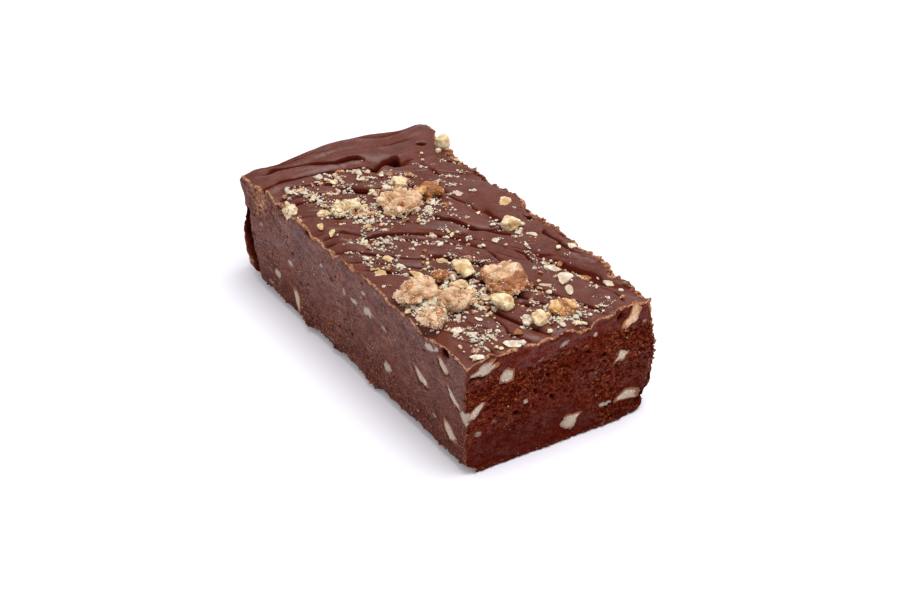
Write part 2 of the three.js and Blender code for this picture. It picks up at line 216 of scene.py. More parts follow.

# %% [markdown]
# ## Long creases
# A long crease is the distance to a line of a few points. The top is pushed down next to the line and up a
# little beside it, as a plough throws up its furrow. Such a crease is too narrow for the grid to shade well, so
# it also gives the finish a painted shade to darken it with.

# %% Long creases
# The points that they run through, their half width and their depth.
CREASES = [
    ([(-48.4, -20.5), (-46.9, -13.8), (-45.2, -8.9), (-42.9, -3.6), (-42.4, 0.2), (-41.8, 4.6)], 0.5, 2),
    ([(-41.2, -27), (-41.4, -19.5), (-41, -15), (-40.9, -12.2), (-39.6, -8)], 0.6, 2.1),
    ([(-33.4, 1.6), (-35.2, 3.6), (-36.8, 5.6), (-37.9, 7.8), (-37.9, 10.4), (-37.2, 11.6)], 0.85, 3.2),
    ([(-50.6, -20), (-49.2, -9), (-48.4, 0)], 0.4, 0.6), ([(-38, -22), (-36.4, -15), (-33.6, -9)], 0.4, 0.9),
    ([(-31, -22.5), (-29.2, -18.5), (-28.4, -14.5)], 0.45, 1.3), ([(-25.2, -24.5), (-22.2, -19)], 0.4, 0.8),
    ([(-13.6, -24.5), (-10.4, -19)], 0.4, 0.7),
    ([(-8.8, -15.5), (-5.6, -7.6), (-1.6, -1.6), (5, 4.2)], 0.5, 1.1),
    ([(-6.4, 0.8), (-2.6, 5.2), (3.4, 9), (12.5, 15.6)], 0.5, 1.2),
    ([(6.6, 2.2), (13.6, 4.8), (20, 5.6)], 0.4, 0.7), ([(-33, 13), (-28, 15.2), (-24, 15.4)], 0.4, 0.6),
    ([(-24.5, 23.5), (-14.5, 24.2)], 0.4, 0.7), ([(-20, 12), (-10.5, 12.4), (-3, 14.5)], 0.4, 0.5),
    ([(11, 21.4), (20, 20.4), (27, 22.4)], 0.45, 0.9), ([(21, 12.6), (27, 16), (34, 20)], 0.35, 0.6),
    ([(30.4, 5.2), (34, 5.6), (36, 4.2)], 0.4, 0.8), ([(39, 17.6), (44, 19.4), (48.5, 18.6)], 0.35, 0.6),
    ([(37, -10), (43, -9.4), (48, -10.4)], 0.35, 0.5), ([(15.6, 10.4), (19, 11.4), (23, 11)], 0.35, 0.6),
]


def off_line(x, y, points):
    """How far the top's points lie to one side of a line, and where along it, from 0 to 1."""
    nearest, share = np.full(x.shape, 1e9), np.zeros(x.shape)
    for n, ((ax, ay), (bx, by)) in enumerate(zip(points, points[1:])):
        reach = np.hypot(bx - ax, by - ay)
        t = np.clip(((x - ax) * (bx - ax) + (y - ay) * (by - ay)) / reach**2, 0, 1)
        away = np.hypot(x - ax - t * (bx - ax), y - ay - t * (by - ay))
        away = np.where((x - ax) * (by - ay) > (y - ay) * (bx - ax), away, -away)
        closer = np.abs(away) < np.abs(nearest)
        share = np.where(closer, (n + t) / (len(points) - 1), share)
        nearest = np.where(closer, away, nearest)
    return nearest, share


def creased(x, y):
    """What the creases add to the top's height, and the painted shade they get, from 0 to 1."""
    wobble = 0.9 * rough(x / 4.5, y / 4.5, 15) + 0.35 * rough(x / 1.4, y / 1.4, 19)
    height, crease_shade = np.zeros(x.shape), np.zeros(x.shape)
    for points, half, depth in CREASES:
        off, share = off_line(x, y, points)
        off = off + wobble
        shown = depth * ease(0, 0.1, share) * ease(1, 0.88, share)
        height = height - shown * bell(off / half) + 0.3 * shown * bell((off - 2.4 * half) / (1.8 * half))
        crease_shade = np.maximum(crease_shade, np.clip(shown / 2.2, 0, 1) * bell((off + 0.7 * half) / (1.6 * half)))
    return height, crease_shade


print(len(CREASES), "creases, the longest of", max(len(points) for points, half, depth in CREASES), "points")

# %% [markdown]
# ## The top's height
# Between two strokes lies a soft valley, and here and there the paste folded over in it: a thin dark crease
# with a lip along one side, which comes and goes. Wide and thin strokes are laid over each other, then the
# hollows, the long creases and the nicks. The edges sink a little, and the back edge crumbles.


# %% The top's height
def folds(across, along, spacing, run, seed):
    """Valleys between strokes, from 0 to 1, and the creases with a lip that show in parts of them."""
    n = noise(across / spacing, along / run, seed) - 0.5
    shows = ease(0.4, 0.66, noise(across / spacing / 1.7, along / run * 2.1, seed + 40))
    return np.abs(2 * n), shows * (0.3 * np.tanh(n / 0.08) - bell(n / 0.06))


def top_height(x, y):
    """The height of the top over a point of the plan."""
    across, along = stroke(x, y)
    across = across + 2.2 * rough(x / 13, y / 13, 21, 2)
    calm = 1 - 0.6 * bell(np.hypot((x + 11) / 9, (y - 16) / 7)) - 0.45 * ease(-38, -46, x)
    wide_valleys, wide_folds = folds(across, along, 4.6, 38, 11)
    thin_valleys, thin_folds = folds(across, along, 2.1, 15, 12)
    relief = 1.1 * (wide_valleys**0.9 - 0.45) + 0.6 * wide_folds
    relief = relief + (0.2 * (thin_valleys - 0.45) + 0.24 * thin_folds) * (0.35 + 0.65 * ease(-40, -30, x))
    relief = relief + 0.05 * rough(across / 0.8, along / 7, 13)
    z = HEIGHT + calm * relief + 0.5 * rough(x / 11, y / 11, 2) + 0.07 * rough(x / 1.2, y / 1.2, 14, 2)
    for hx, hy, half_long, half_wide, turn, depth in HOLLOWS:
        c, s = math.cos(math.radians(turn)), math.sin(math.radians(turn))
        u = ((x - hx) * c + (y - hy) * s) / half_long
        v = (-(x - hx) * s + (y - hy) * c) / half_wide
        z = z - depth * bell(np.hypot(u, v))
    z = z + creased(x, y)[0]
    from_front = (y + WIDTH / 2) / 2.2
    from_end = (LENGTH / 2 - x) / 2.2
    for at, depth, wide in FRONT_NICKS:
        z = z - depth * bell((x - at) / wide) * bell(from_front)
    for at, depth, wide in END_NICKS:
        z = z - depth * bell((y - at) / wide) * bell(from_end)
    from_back = (WIDTH / 2 - y) / 1.4
    burr = np.maximum(bell(from_front * 4), bell(from_end * 4))
    z = z + burr * 0.5 * rough(x / 0.9, y / 0.9, 16, 2)
    crumbled = 1.6 * noise(x / 3.4, 0 * y, 17) * noise(x / 1.1, y / 1.1, 18)
    return z - 0.5 * bell(from_front) - 0.3 * bell(from_end) - (0.3 + crumbled) * bell(from_back)


sample_x, sample_y = np.meshgrid(np.linspace(-50, 50, 200), np.linspace(-24, 24, 100))
heights = top_height(sample_x, sample_y)
print("top from", heights.min().round(2), "to", heights.max().round(2), "mm")

# %% [markdown]
# ## Where the knife met nuts
# Thirteen solids of the frame are nuts that the knife cut through. Each slice's outline lies in one of the
# two cut faces, and its middle, length, breadth and turn are read from the corners of its solid that lie
# near that face. In its own measures an outline is a rounded lozenge, one unit to each side, and a bend and
# some noise make it a splinter or a crescent. `reach` answers for any point of the face how far out it
# lies, with 1 on the outline, and serves both the slice and the fudge round it.


# %% Slices in the cut faces
class Slice:
    def __init__(self, node_name, bend, corners, taper, seed):
        points = np.array([v.co[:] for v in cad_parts[node_name].data.vertices]) / MM - BAR_MIDDLE
        self.name, self.bend, self.corners, self.taper, self.seed = node_name, bend, corners, taper, seed
        self.side = "near_end" if points[:, 0].max() > LENGTH / 2 - 0.6 else "front"
        depth = LENGTH / 2 - points[:, 0] if self.side == "near_end" else WIDTH / 2 + points[:, 1]
        flat = points[depth < 1.2][:, [1, 2] if self.side == "near_end" else [0, 2]]
        self.axes = np.linalg.svd(flat - flat.mean(axis=0))[2]
        self.axes[0] *= np.sign(self.axes[0, 0])
        self.axes[1] *= np.sign(self.axes[1, 1])
        spread = flat @ self.axes.T
        self.half = np.ptp(spread, axis=0) / 2
        self.middle = (spread.min(axis=0) + self.half) @ self.axes

    def outline(self, turn):
        """How far out the outline is at each turn, in the slice's own measures."""
        power = self.corners
        lozenge = (np.abs(np.cos(turn)) ** power + np.abs(np.sin(turn)) ** power) ** (-1 / power)
        ragged = rough(np.cos(turn) * 1.7 + 9, np.sin(turn) * 1.7 + 9, self.seed, 3)
        return lozenge * (1 + 0.6 * ragged)

    def place(self, u, v):
        """The point of the face at u along the slice and v across it."""
        v = v * (1 + self.taper * u) + self.bend * (u * u - 0.35)
        return (np.stack([u, v], axis=-1) * self.half) @ self.axes + self.middle

    def reach(self, across, up):
        """How far out points of the face lie, with 1 on the outline."""
        own = ((np.stack([across, up], axis=-1) - self.middle) @ self.axes.T) / self.half
        u, v = own[..., 0], own[..., 1]
        v = (v - self.bend * (u * u - 0.35)) / np.maximum(1 + self.taper * u, 0.1)
        return np.hypot(u, v) / self.outline(np.arctan2(v, u))


example = Slice("walnut_slice_1", 0, 2, 0, 1)
print("slice 1 lies in the", example.side, "face and measures", (2 * example.half).round(1), "mm")

# %% [markdown]
# ## The slices' outlines
# The place, size and turn of every slice come from its solid. What is left to say is its character: a
# splinter, a crescent or a lozenge.

# %% The slices' outlines
# For each slice but the sixth: its bend, how square its corners are and how it tapers to one end. The sixth
# lies across the top edge.
SLICE_SHAPES = {
    1: (0.3, 1.7, 0.3), 2: (-0.3, 1.6, 0.2), 3: (0.2, 2.2, 0.5), 4: (0.2, 2.0, 0.3), 5: (-0.3, 1.6, -0.3),
    7: (0.3, 2.0, 0.4), 8: (0.1, 2.4, -0.2), 9: (-0.3, 2.2, -0.3), 10: (-0.6, 1.3, -0.3),
    11: (-0.2, 1.8, -0.7), 12: (-0.4, 1.6, 0.6), 13: (0.2, 1.7, 0.3),
}
SLICES = [Slice(f"walnut_slice_{n}", *shape, 90 + 4 * n) for n, shape in SLICE_SHAPES.items()]
for cut in SLICES:
    print(cut.name, cut.side, "at", cut.middle.round(1), "half sizes", cut.half.round(1))

# %% [markdown]
# ## The crack
# The far front corner cracked away behind the cut face: below a slanting edge the front steps back into a
# groove, painted dark as shade further on, and past the groove a rough lump stands. Both are masks over the
# front, which the relief and the colours share, so the crack is worked out once.

# %% The crack
CRACK = dict(top=20.0, top_x=-48.8, foot_x=-43.8, mouth=2.6, depth=6.0, set_back=0.9)


def crack_edge(z):
    """Where the cut face ends and the crack begins, at each height."""
    return CRACK["foot_x"] + (CRACK["top_x"] - CRACK["foot_x"]) * z / CRACK["top"]


def crack_parts(x, z):
    """How much of a point of the front lies in the crack's groove, and in the lump beyond it."""
    past = crack_edge(z) + 0.5 * rough(z / 2, 0 * x, 37) - x
    below = ease(CRACK["top"] + 1, CRACK["top"] - 1, z + 0.8 * rough(x / 2, 0 * z, 38))
    far = CRACK["mouth"] * (0.8 + 0.35 * ease(20, 2, z)) + 0.5 * rough(z / 2.2, 0 * x, 39, 2)
    groove = below * ease(0, 0.4, past) * ease(far + 0.3, far - 0.6, past)
    return groove, below * ease(far - 0.6, far + 0.5, past)


# %% [markdown]
# ## The four upright sides
# Each side has its own story, and each is a function that says how far the surface stands out from a flat
# plane. Two helpers serve them. Pits are bowls strewn over a lattice, one to a cell at most, so that they
# never pile up. Round a slice of nut the face is levelled, and under the slice it sinks to make room.


# %% Pits and seats
def pits(u, v, seed, spacing, share, stretch=1.0):
    """The depth of scattered pits in mm, at most one to each cell of a lattice."""
    u = u / stretch
    i0, j0 = np.floor(u / spacing), np.floor(v / spacing)
    deepest = np.zeros(u.shape)
    for di in (-1, 0, 1):
        for dj in (-1, 0, 1):
            i, j = i0 + di, j0 + dj
            there = hashed(i, j, seed) < share
            size = spacing * (0.14 + 0.26 * hashed(i, j, seed + 3) ** 3)
            off_u = u - (i + 0.2 + 0.6 * hashed(i, j, seed + 1)) * spacing
            off_v = v - (j + 0.2 + 0.6 * hashed(i, j, seed + 2)) * spacing
            bowl = np.clip(1 - (off_u**2 + off_v**2) / size**2, 0, 1)
            deepest = np.maximum(deepest, there * size * np.sqrt(bowl))
    return deepest


def seated(side, across, up, out):
    """Levels a cut face round its slices, and sinks it under them."""
    for cut in SLICES:
        if cut.side == side:
            reach = cut.reach(across, up)
            out = out * ease(0.9, 1.6, reach) - 0.8 * ease(1.0, 0.86, reach)
    return out


print("pits reach", pits(sample_x, sample_y, 44, 1.9, 0.55).max().round(2), "mm deep")

# %% [markdown]
# ## The long front
# The long front was cut by a warm knife, so it is smooth and dragged along, with a few small pits. Its foot
# crumbled and hangs out in places, it crumbled again high up by the far end, and the crack is cut into it.

# %% The long front
# The part that crumbled, by the far end: its middle along the bar and its half width.
CRUMBLED_AT, CRUMBLED_WIDE = -43, 8
# A nut fell out under the top edge and left a hole: its middle.
HOLE_AT, HOLE_LEVEL = 41.8, 27.6


def front_out(x, z):
    """How far the front stands out in mm."""
    crumbly = bell((x - CRUMBLED_AT) / CRUMBLED_WIDE) * ease(18, 23, z) + 0.8 * ease(3.0, 1.0, z)
    out = 0.25 * rough(x / 9, z / 7, 3) + 0.05 * rough(x / 7, z / 0.8, 31, 2)
    out = out + crumbly * 0.45 * rough(x / 1.1, z / 0.9, 32, 2) + 0.12 * rough(x / 1.4, z / 1.1, 40, 2)
    out = out - 0.9 * pits(x, z, 33, 1.2, 0.07, 1.6) - 0.7 * crumbly * pits(x, z, 34, 1.3, 0.4)
    out = out - 1.6 * bell(np.hypot((x + 31.3) / 2.8, (z - 29.0) / 1.8))
    foot = 1.0 * noise(x / 3.2, 0 * z, 35) + 0.9 * noise(x / 1.1, 0 * z, 36)
    out = out - 1.0 * ease(foot + 1.0, foot - 0.3, z)
    for at, wide, high in ((-19.6, 2.2, 2.4), (-7.0, 1.6, 2.0), (9.4, 1.8, 2.2), (12.0, 1.2, 1.6)):
        out = out + 1.4 * bell((x - at) / wide) * bell(z / high) * (1 + rough(x, z, 55, 2))
    groove, lump = crack_parts(x, z)
    out = seated("front", x, z, out)
    out = out - groove * CRACK["depth"] - lump * (CRACK["set_back"] + 0.8 * rough(x / 2, z / 2, 39, 3))
    out = out - 2.2 * bell(np.hypot((x - HOLE_AT) / 1.3, (z - HOLE_LEVEL) / 0.9))
    return out - 1.6 * bell(np.hypot((x + 19.6) / 1.0, (z - 28.2) / 0.6))


level_x, level_z = np.meshgrid(np.linspace(-50, 50, 200), np.linspace(0, HEIGHT, 60))
print("the front stands out by", np.percentile(front_out(level_x, level_z), (1, 99)).round(2), "mm")

# %% [markdown]
# ## The near end
# The near end was cut too, but it tore into fine ragged pits below a band that the knife smeared smooth. A
# few larger holes opened, a low part stayed calm, and the foot stands out over a thin crust.

# %% The near end
# Holes that the knife tore open: across, height and size.
END_HOLES = [
    (7.5, 22.2, 0.7), (-11.5, 11.5, 0.8), (-2, 12.7, 0.7), (-3, 19, 0.5), (-6.5, 16.2, 0.6), (22.9, 4.0, 1.5),
    (16.2, 27.0, 0.8), (2, 19.5, 0.5), (12, 19, 0.6),
]


def smeared(y, z):
    """The part of the near end that the knife smeared smooth: a band along its top."""
    return ease(23.6, 25.4, z + 2.4 * rough(y / 5, 0 * z, 41, 2) - 1.2 * bell((y - 6) / 4))


def calmed(y, z):
    """The part of the near end, low and towards the front, that tore least."""
    return ease(13, 6, z + 4 * rough(y / 6, z / 9, 47)) * ease(14, 6, y)


def end_out(y, z):
    """How far the near end stands out in mm."""
    tears = (1 - 0.9 * smeared(y, z)) * (1 - 0.6 * calmed(y, z))
    ragged = 0.4 * noise(y / 1.1, z / 0.7, 43) + 0.6 * noise(y / 0.55, z / 0.42, 44)
    out = 0.3 * rough(y / 5, z / 4, 4) + 0.15 * rough(y / 2, z / 3, 42)
    out = out + 1.1 * bell(z / 2.2) * ease(24, 12, y)
    out = out - tears * 0.4 * ease(0.58, 0.72, ragged) + tears * 0.22 * rough(y / 0.8, z / 0.6, 45, 2)
    for at, level, size in END_HOLES:
        off = np.hypot(y - at, (z - level) * 1.3) * (1 + 0.5 * rough(y / 0.9, z / 0.9, 48))
        out = out - 1.8 * size * bell(off / size)
    out = seated("near_end", y, z, out)
    crust = 0.7 + 1.3 * noise(y / 6, 0 * z, 46)
    out = out - 0.3 * bell((z - crust) / 0.3)
    out = out + 0.3 * ease(crust, crust - 0.6, z) * rough(y / 0.8, z / 0.6, 49, 2)
    return out - 0.9 * ease(WIDTH / 2 - 2.4, WIDTH / 2, y)


level_y, level_z = np.meshgrid(np.linspace(-24, 24, 100), np.linspace(0, HEIGHT, 60))
print("the near end stands out by", np.percentile(end_out(level_y, level_z), (1, 99)).round(2), "mm")

# %% [markdown]
# ## The broken sides
# The back broke off the slab, so it is lumpy and grainy all over, coarsest along its top. The far end broke
# too: the spread top rolls over it as a thick lip, and below that it bulges and crumbles.


# %% The broken sides
def back_out(x, z):
    """How far the back stands out in mm."""
    swell = 1.8 * bell((z - 13) / 8) * bell((x - 47) / 14) + 1.1 * bell((z - 28.5) / 2.5) * bell((x + 9) / 8)
    out = swell + 1.3 * rough(x / 6, z / 5, 6) + 1.3 * rough(x / 2.5, z / 2.5, 7)
    out = out + 1.5 * ease(21, 28, z) * rough(x / 4.2, z / 3.5, 78)
    fine = 0.4 + 0.4 * ease(24, 29, z) + 0.5 * noise(x / 6, z / 5, 77)
    return out + fine * rough(x / 1.2, z / 1.2, 51, 2) - 0.8 * pits(x, z, 52, 2.2, 0.25)


def far_out(y, z):
    """How far the far end stands out in mm."""
    lip = 2.8 * bell((z - 26.5) / 3.2) * ease(24, -20, y)
    bulge = 4.2 * bell((z - 10) / 8) * bell((y + 22) / 12)
    out = lip + bulge - 2 * ease(10, 25, y) + 1.2 * rough(y / 5, z / 4, 8)
    broken = ease(26, 22, z) * ease(-27, -12, y)
    return out + broken * (0.9 * rough(y / 1.8, z / 1.8, 53, 3) - 0.7 * pits(y, z, 54, 2.2, 0.25))


print("the far end stands out by", np.percentile(far_out(level_y, level_z), (1, 99)).round(2), "mm")

# %% [markdown]
# ## The bar's skin
# The skin starts as a box of small squares, and each point of the box is carried to its place on the bar. A
# box keeps the five faces joined in one closed mesh, and each face can be given its own finish. The squares
# are finest at the near end, which is looked at from closest by. The base is one flat face: nothing of it
# shows, and it rests on the table.


# %% The skin's points
def graded(start, end, count, finer):
    """Steps from start to end that shrink to a share of their size by the end."""
    steps = np.linspace(1, finer, count)
    return start + (end - start) * np.concatenate([[0], np.cumsum(steps)]) / steps.sum()


GRID_X = graded(-LENGTH / 2, LENGTH / 2, 310, 0.7)
GRID_Y = graded(-WIDTH / 2, WIDTH / 2, 180, 1.15)
GRID_Z = graded(0, HEIGHT, 110, 0.9)


def face_grid(fixed, level):
    """The corners of one face's squares, each as its three grid numbers, seen from outside in turn."""
    counts = [len(GRID_X) - 1, len(GRID_Y) - 1, len(GRID_Z) - 1]
    first, second = [axis for axis in (0, 1, 2) if axis != fixed]
    i, j = np.meshgrid(np.arange(counts[first]), np.arange(counts[second]), indexing="ij")
    corners = []
    for di, dj in ((0, 0), (1, 0), (1, 1), (0, 1)):
        place = np.zeros((i.size, 3), int)
        place[:, first] = (i + di).ravel()
        place[:, second] = (j + dj).ravel()
        place[:, fixed] = counts[fixed] if level else 0
        corners.append(place)
    outward = (level == 1) == (fixed != 1)
    return np.stack(corners if outward else corners[::-1], axis=1)


SIDES = {"top": (2, 1), "front": (1, 0), "near_end": (0, 1), "back": (1, 1), "far_end": (0, 0)}
squares = {side: face_grid(*place) for side, place in SIDES.items()}
corner_places = np.concatenate([s.reshape(-1, 3) for s in squares.values()])
grid_places, corner_numbers = np.unique(corner_places, axis=0, return_inverse=True)
quads = corner_numbers.reshape(-1, 4)
side_of_quad = np.repeat(np.arange(len(squares)), [len(s) for s in squares.values()])
print(len(grid_places), "points and", len(quads), "squares")


# %% [markdown]
# ## From the box to the bar
# Two things move a point of the box. The bar's foot is rounded along its edges, and the relief of the
# nearest sides pushes the point in or out. A side's relief fades within a few millimetres of its face, so
# that the squares of the top near an edge follow it and none fold over.


# %% Carry the box onto the bar
# How far in mm the relief of a cut side and of a broken side reaches over the faces next to it.
CUT_FADE, BREAK_FADE = 1.6, 5.0


def rounded(inward, up, radius):
    """A square corner pushed onto its round: both are distances, from the side and from the base."""
    p, q = np.maximum(0, radius - inward), np.maximum(0, radius - up)
    both = (p > 0) & (q > 0)
    shrink = np.where(both, np.maximum(p, q) / np.maximum(np.hypot(p, q), 1e-9), 1)
    return np.where(both, radius - p * shrink, inward), np.where(both, radius - q * shrink, up)


def carry(box):
    """Points of the plain box's skin, carried to the bar's."""
    x, y, z = box.T
    in_y, up = rounded(WIDTH / 2 - np.abs(y), z, np.where(y < 0, 3.0, 6.5))
    in_x, up = rounded(LENGTH / 2 - np.abs(x), up, 0.8)
    plan_x = np.sign(x) * (LENGTH / 2 - in_x)
    plan_y = np.sign(y) * (WIDTH / 2 - in_y)
    near = bell((LENGTH / 2 - x) / CUT_FADE) * end_out(y, z)
    far = bell((LENGTH / 2 + x) / BREAK_FADE) * far_out(y, z)
    front = bell((WIDTH / 2 + y) / CUT_FADE) * front_out(x, z)
    back = bell((WIDTH / 2 - y) / BREAK_FADE) * back_out(x, z)
    lift = up * (1 + (top_height(plan_x, plan_y) / HEIGHT - 1) * (up / HEIGHT))
    return np.stack([plan_x + near - far, plan_y - front + back, lift], axis=1)


box_points = np.stack([grid[k] for grid, k in zip((GRID_X, GRID_Y, GRID_Z), grid_places.T)], axis=1)
skin_points = carry(box_points)
print("skin from", skin_points.min(axis=0).round(2), "to", skin_points.max(axis=0).round(2), "mm")

# %% [markdown]
# ## Making a mesh
# One function turns arrays of points and faces into a piece: it moves them from the bar's middle to the
# frame's origin, turns them into metres, and makes the piece ride on the frame's body. Numbers that belong
# to points, such as how torn the fudge is there, go along as attributes that a finish can read.


# %% A function that makes a piece
def make_piece(name, points, faces, finishes, finish_of_face=None, smooth=True, **attributes):
    mesh = bpy.data.meshes.new(name)
    places = (np.asarray(points) + BAR_MIDDLE) * MM
    mesh.from_pydata(places.tolist(), [], [list(face) for face in faces])
    for finish in finishes:
        mesh.materials.append(finish)
    if finish_of_face is not None:
        mesh.polygons.foreach_set("material_index", np.asarray(finish_of_face, dtype=np.int32))
    mesh.polygons.foreach_set("use_smooth", np.full(len(mesh.polygons), smooth))
    for key, values in attributes.items():
        made = mesh.attributes.new(key, "FLOAT", "POINT")
        made.data.foreach_set("value", np.asarray(values, dtype=np.float32))
    mesh.update()
    piece = put(name, mesh)
    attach(piece, "root")
    return piece


# %% [markdown]
# ## Shader maths
# Finishes are worked out as sums of noises and masks. Wrapping a socket in a small class lets such a sum be
# written as ordinary arithmetic, and each operator adds the Math node that it stands for. Any other node
# comes from one method that takes the node's type, its settings and what goes into its sockets.


# %% A socket that can be written into a sum
class Wire:
    def __init__(self, socket):
        self.socket = socket

    def maths(self, operation, *values):
        return node(self.socket.id_data, "ShaderNodeMath", {"operation": operation}, dict(enumerate(values)))

    def __add__(self, other):
        return self.maths("ADD", self, other)

    def __sub__(self, other):
        return self.maths("SUBTRACT", self, other)

    def __rsub__(self, other):
        return self.maths("SUBTRACT", other, self)

    def __mul__(self, other):
        return self.maths("MULTIPLY", self, other)

    __radd__ = __add__
    __rmul__ = __mul__

    def between(self, low, high):
        """0 below low, 1 above high and a smooth rise between."""
        settings = {"interpolation_type": "SMOOTHSTEP"}
        return node(self.socket.id_data, "ShaderNodeMapRange", settings, {0: self, 1: low, 2: high})


def node(tree, kind, settings, inputs, output=0):
    """Adds a node: its settings first, then a value or a link for each socket."""
    made = tree.nodes.new(kind)
    for key, value in settings.items():
        setattr(made, key, value)
    for key, value in inputs.items():
        if isinstance(value, Wire):
            tree.links.new(value.socket, made.inputs[key])
        else:
            made.inputs[key].default_value = value
    return Wire(made.outputs[output])


print("sums of sockets add Math nodes")


# %% [markdown]
# ## A finish to write on
# Every finish here starts alike: a material with one Principled shader and coordinates that count in
# millimetres, so that a grain of half a millimetre is written as 0.5. The Object coordinates are used,
# because they stay with the piece and need no unwrapping.


# %% A finish to write on
def rgb(code):
    """A colour written as #rrggbb, in the linear numbers that shaders use."""
    parts = [int(code[n : n + 2], 16) / 255 for n in (1, 3, 5)]
    return tuple(p / 12.92 if p <= 0.04045 else ((p + 0.055) / 1.055) ** 2.4 for p in parts) + (1.0,)


class Finish:
    """A material with its shader, its coordinates in millimetres and short ways to the common nodes."""

    def __init__(self, name, **constants):
        self.material = bpy.data.materials.new(name)
        self.material.use_nodes = True
        self.tree = self.material.node_tree
        self.shader = self.tree.nodes["Principled BSDF"]
        for key, value in constants.items():
            self.shader.inputs[key.replace("_", " ")].default_value = value
        place = node(self.tree, "ShaderNodeTexCoord", {}, {}, "Object")
        self.place = self.stretch(place, (1 / MM, 1 / MM, 1 / MM))

    def stretch(self, place, scale):
        return node(self.tree, "ShaderNodeVectorMath", {"operation": "MULTIPLY"}, {0: place, 1: scale})

    def noise(self, size, detail=2.0, stretch=(1, 1, 1), rough=0.5):
        place = self.stretch(self.place, tuple(s / size for s in stretch))
        inputs = {"Vector": place, "Scale": 1.0, "Detail": detail, "Roughness": rough}
        return node(self.tree, "ShaderNodeTexNoise", {}, inputs)

    def cells(self, size, feature="F1"):
        inputs = {"Vector": self.stretch(self.place, (1 / size,) * 3), "Scale": 1.0}
        return node(self.tree, "ShaderNodeTexVoronoi", {"feature": feature}, inputs, "Distance")

    def attribute(self, name):
        return node(self.tree, "ShaderNodeAttribute", {"attribute_name": name}, {}, "Fac")

    def mix(self, share, first, second):
        return node(self.tree, "ShaderNodeMix", {"data_type": "RGBA"}, {0: share, 6: first, 7: second}, 2)

    def bump(self, height, distance):
        inputs = {"Height": height, "Distance": distance * MM, "Strength": 1.0}
        return node(self.tree, "ShaderNodeBump", {}, inputs)

    def wear(self, **sockets):
        for key, wire in sockets.items():
            self.tree.links.new(wire.socket, self.shader.inputs[key.replace("_", " ")])
        return self.material


print("dark fudge in linear colour:", [round(v, 4) for v in rgb("#5e2f26")])

# %% [markdown]
# ## Fudge
# Fudge is cocoa, sugar and butter. Its body is a dark red-brown, and butter gives it a soft gloss. The top
# is satin; its colour is painted paler on the strokes' crowns, as a highlight, and darker in the creases, as
# shade.
# The knife smeared the long front smooth and a little paler, with greyish smears of nut; the near end tore, so
# it is redder, darker and duller, with orange-brown lips round its pits, partly a painted highlight, and painted
# shade in the pits. Where the fudge broke, at the edges and the back, it is light orange-brown and crumbly. One
# recipe with a few knobs serves all of them, and it reads what the mesh knows of each point. The gloss comes
# from a thin film of butter that lies in patches, and fudge without it barely reflects. So the body has no
# reflection of its own, and a coat with a mask stands for the film: where the coat is missing the brown stays
# deep and warm, and where it lies the studio's white turns it rosy and pale.


